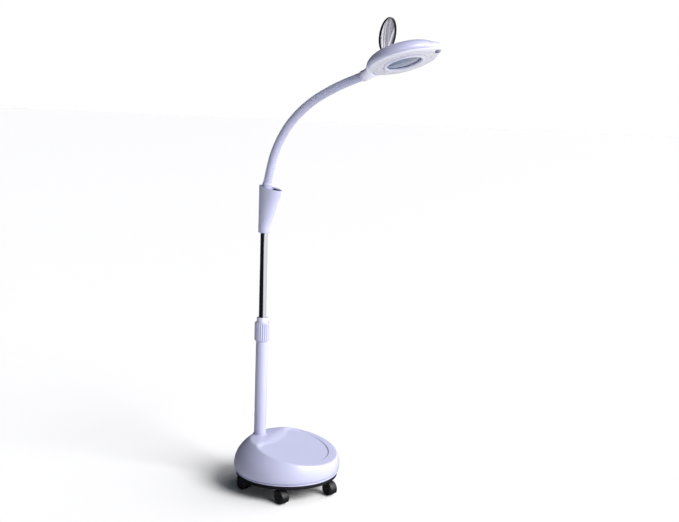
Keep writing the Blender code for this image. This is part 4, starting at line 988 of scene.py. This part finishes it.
class LAMP_OT_optics(Operator):
    """Build the lens, its clamp ring, the light ring and its clear cover"""

    bl_idname = "lamp.optics"
    bl_label = "Lens And Lights"

    def execute(self, context):
        shape = context.scene.lamp_shape
        seat, edge, crown = 0.0033, 0.003, 0.005
        reach = 0.0477
        radii = [reach * k / 10 for k in range(11)]
        top = [(r, seat + edge + crown * (1 - (r / reach) ** 2)) for r in radii]
        bottom = [(r, seat - crown * (1 - (r / reach) ** 2)) for r in reversed(radii)]
        lens = lathe(top + [(0.0513, seat + edge), (0.0513, seat)] + bottom, 96)
        piece("magnifier_lens", lens, "lens_glass", "head", ["lens"], HEAD)

        low = seat + edge + 0.0003
        clamp = rounded([(0.0514, low + 0.004), (0.0514, low), (0.0486, low), (0.0495, low + 0.004)], 0.0006, 3)
        ring = lathe(clamp, 96, True)
        piece("lens_clamp_ring", ring, "white_gloss", "head", ["lens_retaining_ring"], where=HEAD)

        cover = rounded([
            (0.0906, 0.0003), (0.0906, 0.0024), (0.0614, 0.0024), (0.0614, 0.0003), (0.0700, 0.0003), (0.0704, 0.0008),
            (0.0708, 0.0003), (0.0780, 0.0003), (0.0784, 0.0008), (0.0788, 0.0003), (0.0860, 0.0003),
            (0.0864, 0.0008), (0.0868, 0.0003),
        ], 0.0003, 2)
        cover = lathe(cover, 128, True)
        piece("light_cover", cover, "clear_cover", "head", ["light_ring_cover"], HEAD)

        for name, distance in (("light_dies", 0.0690), ("light_dies_outer", 0.0810)):
            bm = block((0.0042, 0.0034, 0.0028))
            under = [face for face in bm.faces if face.normal.z < -0.9]
            bmesh.ops.inset_region(bm, faces=under, thickness=0.0005, depth=-0.0002)
            bevelled(bm, [e for e in bm.edges if e.calc_face_angle(0) > radians(60)], 0.0001, 1)
            moved(bm, shift((distance, 0, 0.0042)))
            bmesh.ops.spin(
                bm, geom=bm.faces[:], cent=(0, 0, 0), axis=(0, 0, 1), angle=2 * pi * (1 - 1 / shape.lights),
                steps=shape.lights - 1, use_duplicate=True,
            )
            piece(name, bm, "diode", "head", where=HEAD)
        return {"FINISHED"}


class LAMP_OT_ferrule_and_button(Operator):
    """Build the ferrule at the neck's end and the button under the nose"""

    bl_idname = "lamp.ferrule_and_button"
    bl_label = "Ferrule And Button"

    def execute(self, context):
        end = along(NECK_POINTS[-1], HEAD_X)
        collar = rounded([
            (0.0128, -0.0010), (0.0146, -0.0010), (0.0152, 0.0008), (0.0154, 0.0044), (0.0154, 0.0120),
            (0.0128, 0.0120),
        ], 0.0006, 3)
        ring = lathe(collar, 72, True)
        piece("ferrule_collar", ring, "white_gloss", "head", ["head_ferrule"], where=end)

        press = HEAD.inverted() @ middle("head_button")
        dome = [(0, 0.0060), (0.0078, 0.0060), (0.0080, 0.0056), (0.0080, 0.0002), (0.0078, -0.0008)]
        dome += [(0.0078 * cos(a), -0.0010 - 0.0052 * sin(a)) for a in (0.15, 0.4, 0.7, 1.0, 1.25)]
        dome.append((0, -0.0062))
        seat = HEAD @ shift((press.x, press.y, -0.0006))
        piece("head_press_button", lathe(dome, 48), "grey_moulding", "button", ["head_button"], seat)
        return {"FINISHED"}


# Lid

LID_REACH = 0.0535
LID_RADIUS = 0.049


class LAMP_OT_lid(Operator):
    """Build the smoked lid with its rim, tab and hinge barrel"""

    bl_idname = "lamp.lid"
    bl_label = "Lid"

    def execute(self, context):
        hinge = joint_place("lid_hinge")
        turn = HEAD.to_3x3().to_4x4() @ Matrix.Rotation(-radians(61), 4, "Y")
        lid = Matrix.Translation(hinge) @ turn
        centre = lid @ shift((LID_REACH, 0, 0))
        cap = lathe([
            (0, 0.0068), (0.0150, 0.0066), (0.0290, 0.0058), (0.0390, 0.0046), (0.0445, 0.0036), (0.0462, 0.0032),
            (0.0462, 0.0012), (0.0445, 0.0016), (0.0390, 0.0026), (0.0290, 0.0038), (0.0150, 0.0046), (0, 0.0048),
        ], 96)
        piece("lid_window", cap, streaked_cap(), "lid", where=centre)

        rim = lathe(rounded([
            (LID_RADIUS, 0.0020), (LID_RADIUS, -0.0032), (LID_RADIUS - 0.0022, -0.0032), (LID_RADIUS - 0.0022, 0.0004),
            (LID_RADIUS - 0.0040, 0.0010), (LID_RADIUS - 0.0040, 0.0038), (LID_RADIUS - 0.0020, 0.0040),
        ], 0.0007, 3), 96, True)
        barrel = rounded([(0.0017, 0.015), (0.0034, 0.015), (0.0034, -0.015), (0.0017, -0.015)], 0.0005, 3)
        barrel = lathe(barrel, 32, True)
        hinge_line = shift((-LID_REACH, 0, 0)) @ QUARTER_ABOUT_X
        moved(barrel, hinge_line)
        tab = rounded_box((0.0064, 0.026, 0.0026), 0.0008)
        moved(tab, shift((-LID_REACH + 0.0054, 0, 0)))
        rim = combined(rim, [tab], "UNION", "EXACT")
        rim = combined(rim, [barrel], "UNION", "EXACT")
        bore = rod(0.0017, 0.03, -0.03, 24)
        moved(bore, hinge_line)
        rim = combined(rim, [bore], "DIFFERENCE", "EXACT")
        piece("lid_rim", rim, "black_gloss", "lid", ["lid"], centre)
        return {"FINISHED"}


# Carried-over pieces

CARRIED = {
    "base_weight": "cast_iron", "cord_gland": "grommet_rubber", "column_socket": "zinc_plate",
    "slide_bush": "grommet_rubber", "light_board": "board_white", "lid_pin": "zinc_plate",
}
CARRIED |= {f"cover_screw_{k}": "zinc_plate" for k in range(1, 5)}
CARRIED |= {f"caster_{k}_{part}": "zinc_plate" for k in range(1, 6) for part in ("stem", "axle")}


class LAMP_OT_carried(Operator):
    """Give the carried-over pieces their finishes"""

    bl_idname = "lamp.carried"
    bl_label = "Carried Pieces"

    def execute(self, context):
        for node, name in CARRIED.items():
            slots = frame["nodes"][node].data.materials
            slots.clear()
            slots.append(finish(name))
        return {"FINISHED"}


# Stage

class LAMP_OT_stage(Operator):
    """Set the floor, the lights and the camera"""

    bl_idname = "lamp.stage"
    bl_label = "Stage"

    def execute(self, context):
        look = context.scene.lamp_stage
        bm = bmesh.new()
        bmesh.ops.create_grid(bm, x_segments=24, y_segments=24, size=40)
        floor = piece("stage_floor", bm, self.floor_finish(look), None)

        pitch, roll = radians(9.031), radians(1.92)
        forward = Vector((-sin(HEADING) * cos(pitch), cos(HEADING) * cos(pitch), -sin(pitch)))
        right = Vector((cos(HEADING), sin(HEADING), 0))
        sun = bpy.data.lights.new("main_light", "SUN")
        sun.energy = look.sun
        sun.angle = radians(30)
        lamp = bpy.data.objects.new("main_light", sun)
        source = 0.78 * right - 0.55 * forward + Vector((0, 0, 0.66))
        lamp.matrix_world = along(Vector((0, 0, 2)), source)
        context.scene.collection.objects.link(lamp)
        self.surround(look, right)

        camera = bpy.data.cameras.new("camera")
        camera.sensor_width = 36
        camera.lens = 1040 / 679 * 36
        item = bpy.data.objects.new("camera", camera)
        up = right.cross(forward)
        turned_right = right * cos(roll) + up * sin(roll)
        turned_up = up * cos(roll) - right * sin(roll)
        spot = BASE @ Vector((1.337, -2.725, 1.1825))
        item.matrix_world = axes(spot, turned_right, turned_up, -forward)
        context.scene.collection.objects.link(item)
        context.scene.camera = item
        context.scene.view_settings.view_transform = "Standard"
        return {"FINISHED"}

    def floor_finish(self, look):
        """The floor's paper, which shiny pieces see as dim on the stage's dark side."""
        made = surface("stage_floor", look.floor, [c * 0.98 for c in look.floor], 0.85, 0.03, 60, 0.0001)
        tree = made.node_tree
        place = add_node(tree, "TexCoord").outputs["Object"]
        right = (cos(HEADING), sin(HEADING), 0)
        side = add_node(tree, "VectorMath", {0: place, 1: right}, operation="DOT_PRODUCT").outputs["Value"]
        share = add_node(tree, "MapRange", {"Value": side, "From Min": 0.9, "From Max": 0.2}).outputs["Result"]
        # Painted dark reflection: on the stage's dark side, glossy rays see a near-black floor, while the camera and
        # diffuse rays see the plain paper.
        glossy = add_node(tree, "LightPath").outputs["Is Glossy Ray"]
        dim = add_node(tree, "Math", {0: share, 1: glossy}, operation="MULTIPLY").outputs["Value"]
        dark = add_node(tree, "BsdfDiffuse", {"Color": (0.012, 0.013, 0.018, 1)}).outputs["BSDF"]
        plain = tree.nodes["Principled BSDF"].outputs["BSDF"]
        mix = add_node(tree, "MixShader", {"Fac": dim, 1: plain, 2: dark})
        set_inputs(tree, tree.nodes["Material Output"], {"Surface": mix.outputs["Shader"]})
        return made

    def surround(self, look, bright_way):
        """A surround that is bright on one side and dim on the other, seen as plain white by the camera."""
        world = bpy.context.scene.world or bpy.data.worlds.new("surround")
        bpy.context.scene.world = world
        world.use_nodes = True
        tree = world.node_tree
        tree.nodes.clear()
        way = add_node(tree, "TexCoord").outputs["Generated"]
        facing = add_node(tree, "VectorMath", {0: way, 1: bright_way.normalized()}, operation="DOT_PRODUCT")
        share = add_node(tree, "MapRange", interpolation_type="SMOOTHSTEP")
        set_inputs(tree, share, {"Value": facing.outputs["Value"], "From Min": 0.12, "From Max": 0.70})
        dark = add_node(tree, "Background", {"Color": (0.60, 0.80, 1.0, 1), "Strength": look.dark})
        bright = add_node(tree, "Background", {"Color": (1.0, 0.98, 0.97, 1), "Strength": look.bright})
        sides = add_node(tree, "MixShader", {
            "Fac": share.outputs["Result"], 1: dark.outputs["Background"], 2: bright.outputs["Background"],
        })
        seen = add_node(tree, "Background", {"Color": (1, 1, 1, 1), "Strength": 1.0})
        camera_ray = add_node(tree, "LightPath").outputs["Is Camera Ray"]
        mix = add_node(tree, "MixShader", {
            "Fac": camera_ray, 1: sides.outputs["Shader"], 2: seen.outputs["Background"],
        })
        add_node(tree, "OutputWorld", {"Surface": mix.outputs["Shader"]})


OPERATORS = (
    LAMP_OT_base_cover, LAMP_OT_casters, LAMP_OT_column, LAMP_OT_switch_cup, LAMP_OT_neck, LAMP_OT_head_shell,
    LAMP_OT_optics, LAMP_OT_ferrule_and_button, LAMP_OT_lid, LAMP_OT_carried, LAMP_OT_stage,
)


class VIEW3D_PT_lamp(Panel):
    """The lamp's settings and pieces"""

    bl_idname = "VIEW3D_PT_lamp"
    bl_label = "Magnifying Lamp"
    bl_space_type = "VIEW_3D"
    bl_region_type = "UI"
    bl_category = "Lamp"

    def draw(self, context):
        layout = self.layout
        for group in (context.scene.lamp_shape, context.scene.lamp_look, context.scene.lamp_stage):
            box = layout.box()
            for name in group.__annotations__:
                box.prop(group, name)
        for operator in OPERATORS:
            layout.operator(operator.bl_idname)


CLASSES = (LampShape, LampLook, StageLook) + OPERATORS + (VIEW3D_PT_lamp,)


def register():
    for item in CLASSES:
        bpy.utils.register_class(item)
    bpy.types.Scene.lamp_shape = PointerProperty(type=LampShape)
    bpy.types.Scene.lamp_look = PointerProperty(type=LampLook)
    bpy.types.Scene.lamp_stage = PointerProperty(type=StageLook)


def unregister():
    del bpy.types.Scene.lamp_stage
    del bpy.types.Scene.lamp_look
    del bpy.types.Scene.lamp_shape
    for item in reversed(CLASSES):
        bpy.utils.unregister_class(item)


def main():
    register()
    bpy.ops.lamp.base_cover()
    bpy.ops.lamp.casters()
    bpy.ops.lamp.column()
    bpy.ops.lamp.switch_cup()
    bpy.ops.lamp.neck()
    bpy.ops.lamp.head_shell()
    bpy.ops.lamp.optics()
    bpy.ops.lamp.ferrule_and_button()
    bpy.ops.lamp.lid()
    bpy.ops.lamp.carried()
    bpy.ops.lamp.stage()


if __name__ == "__main__":
    main()
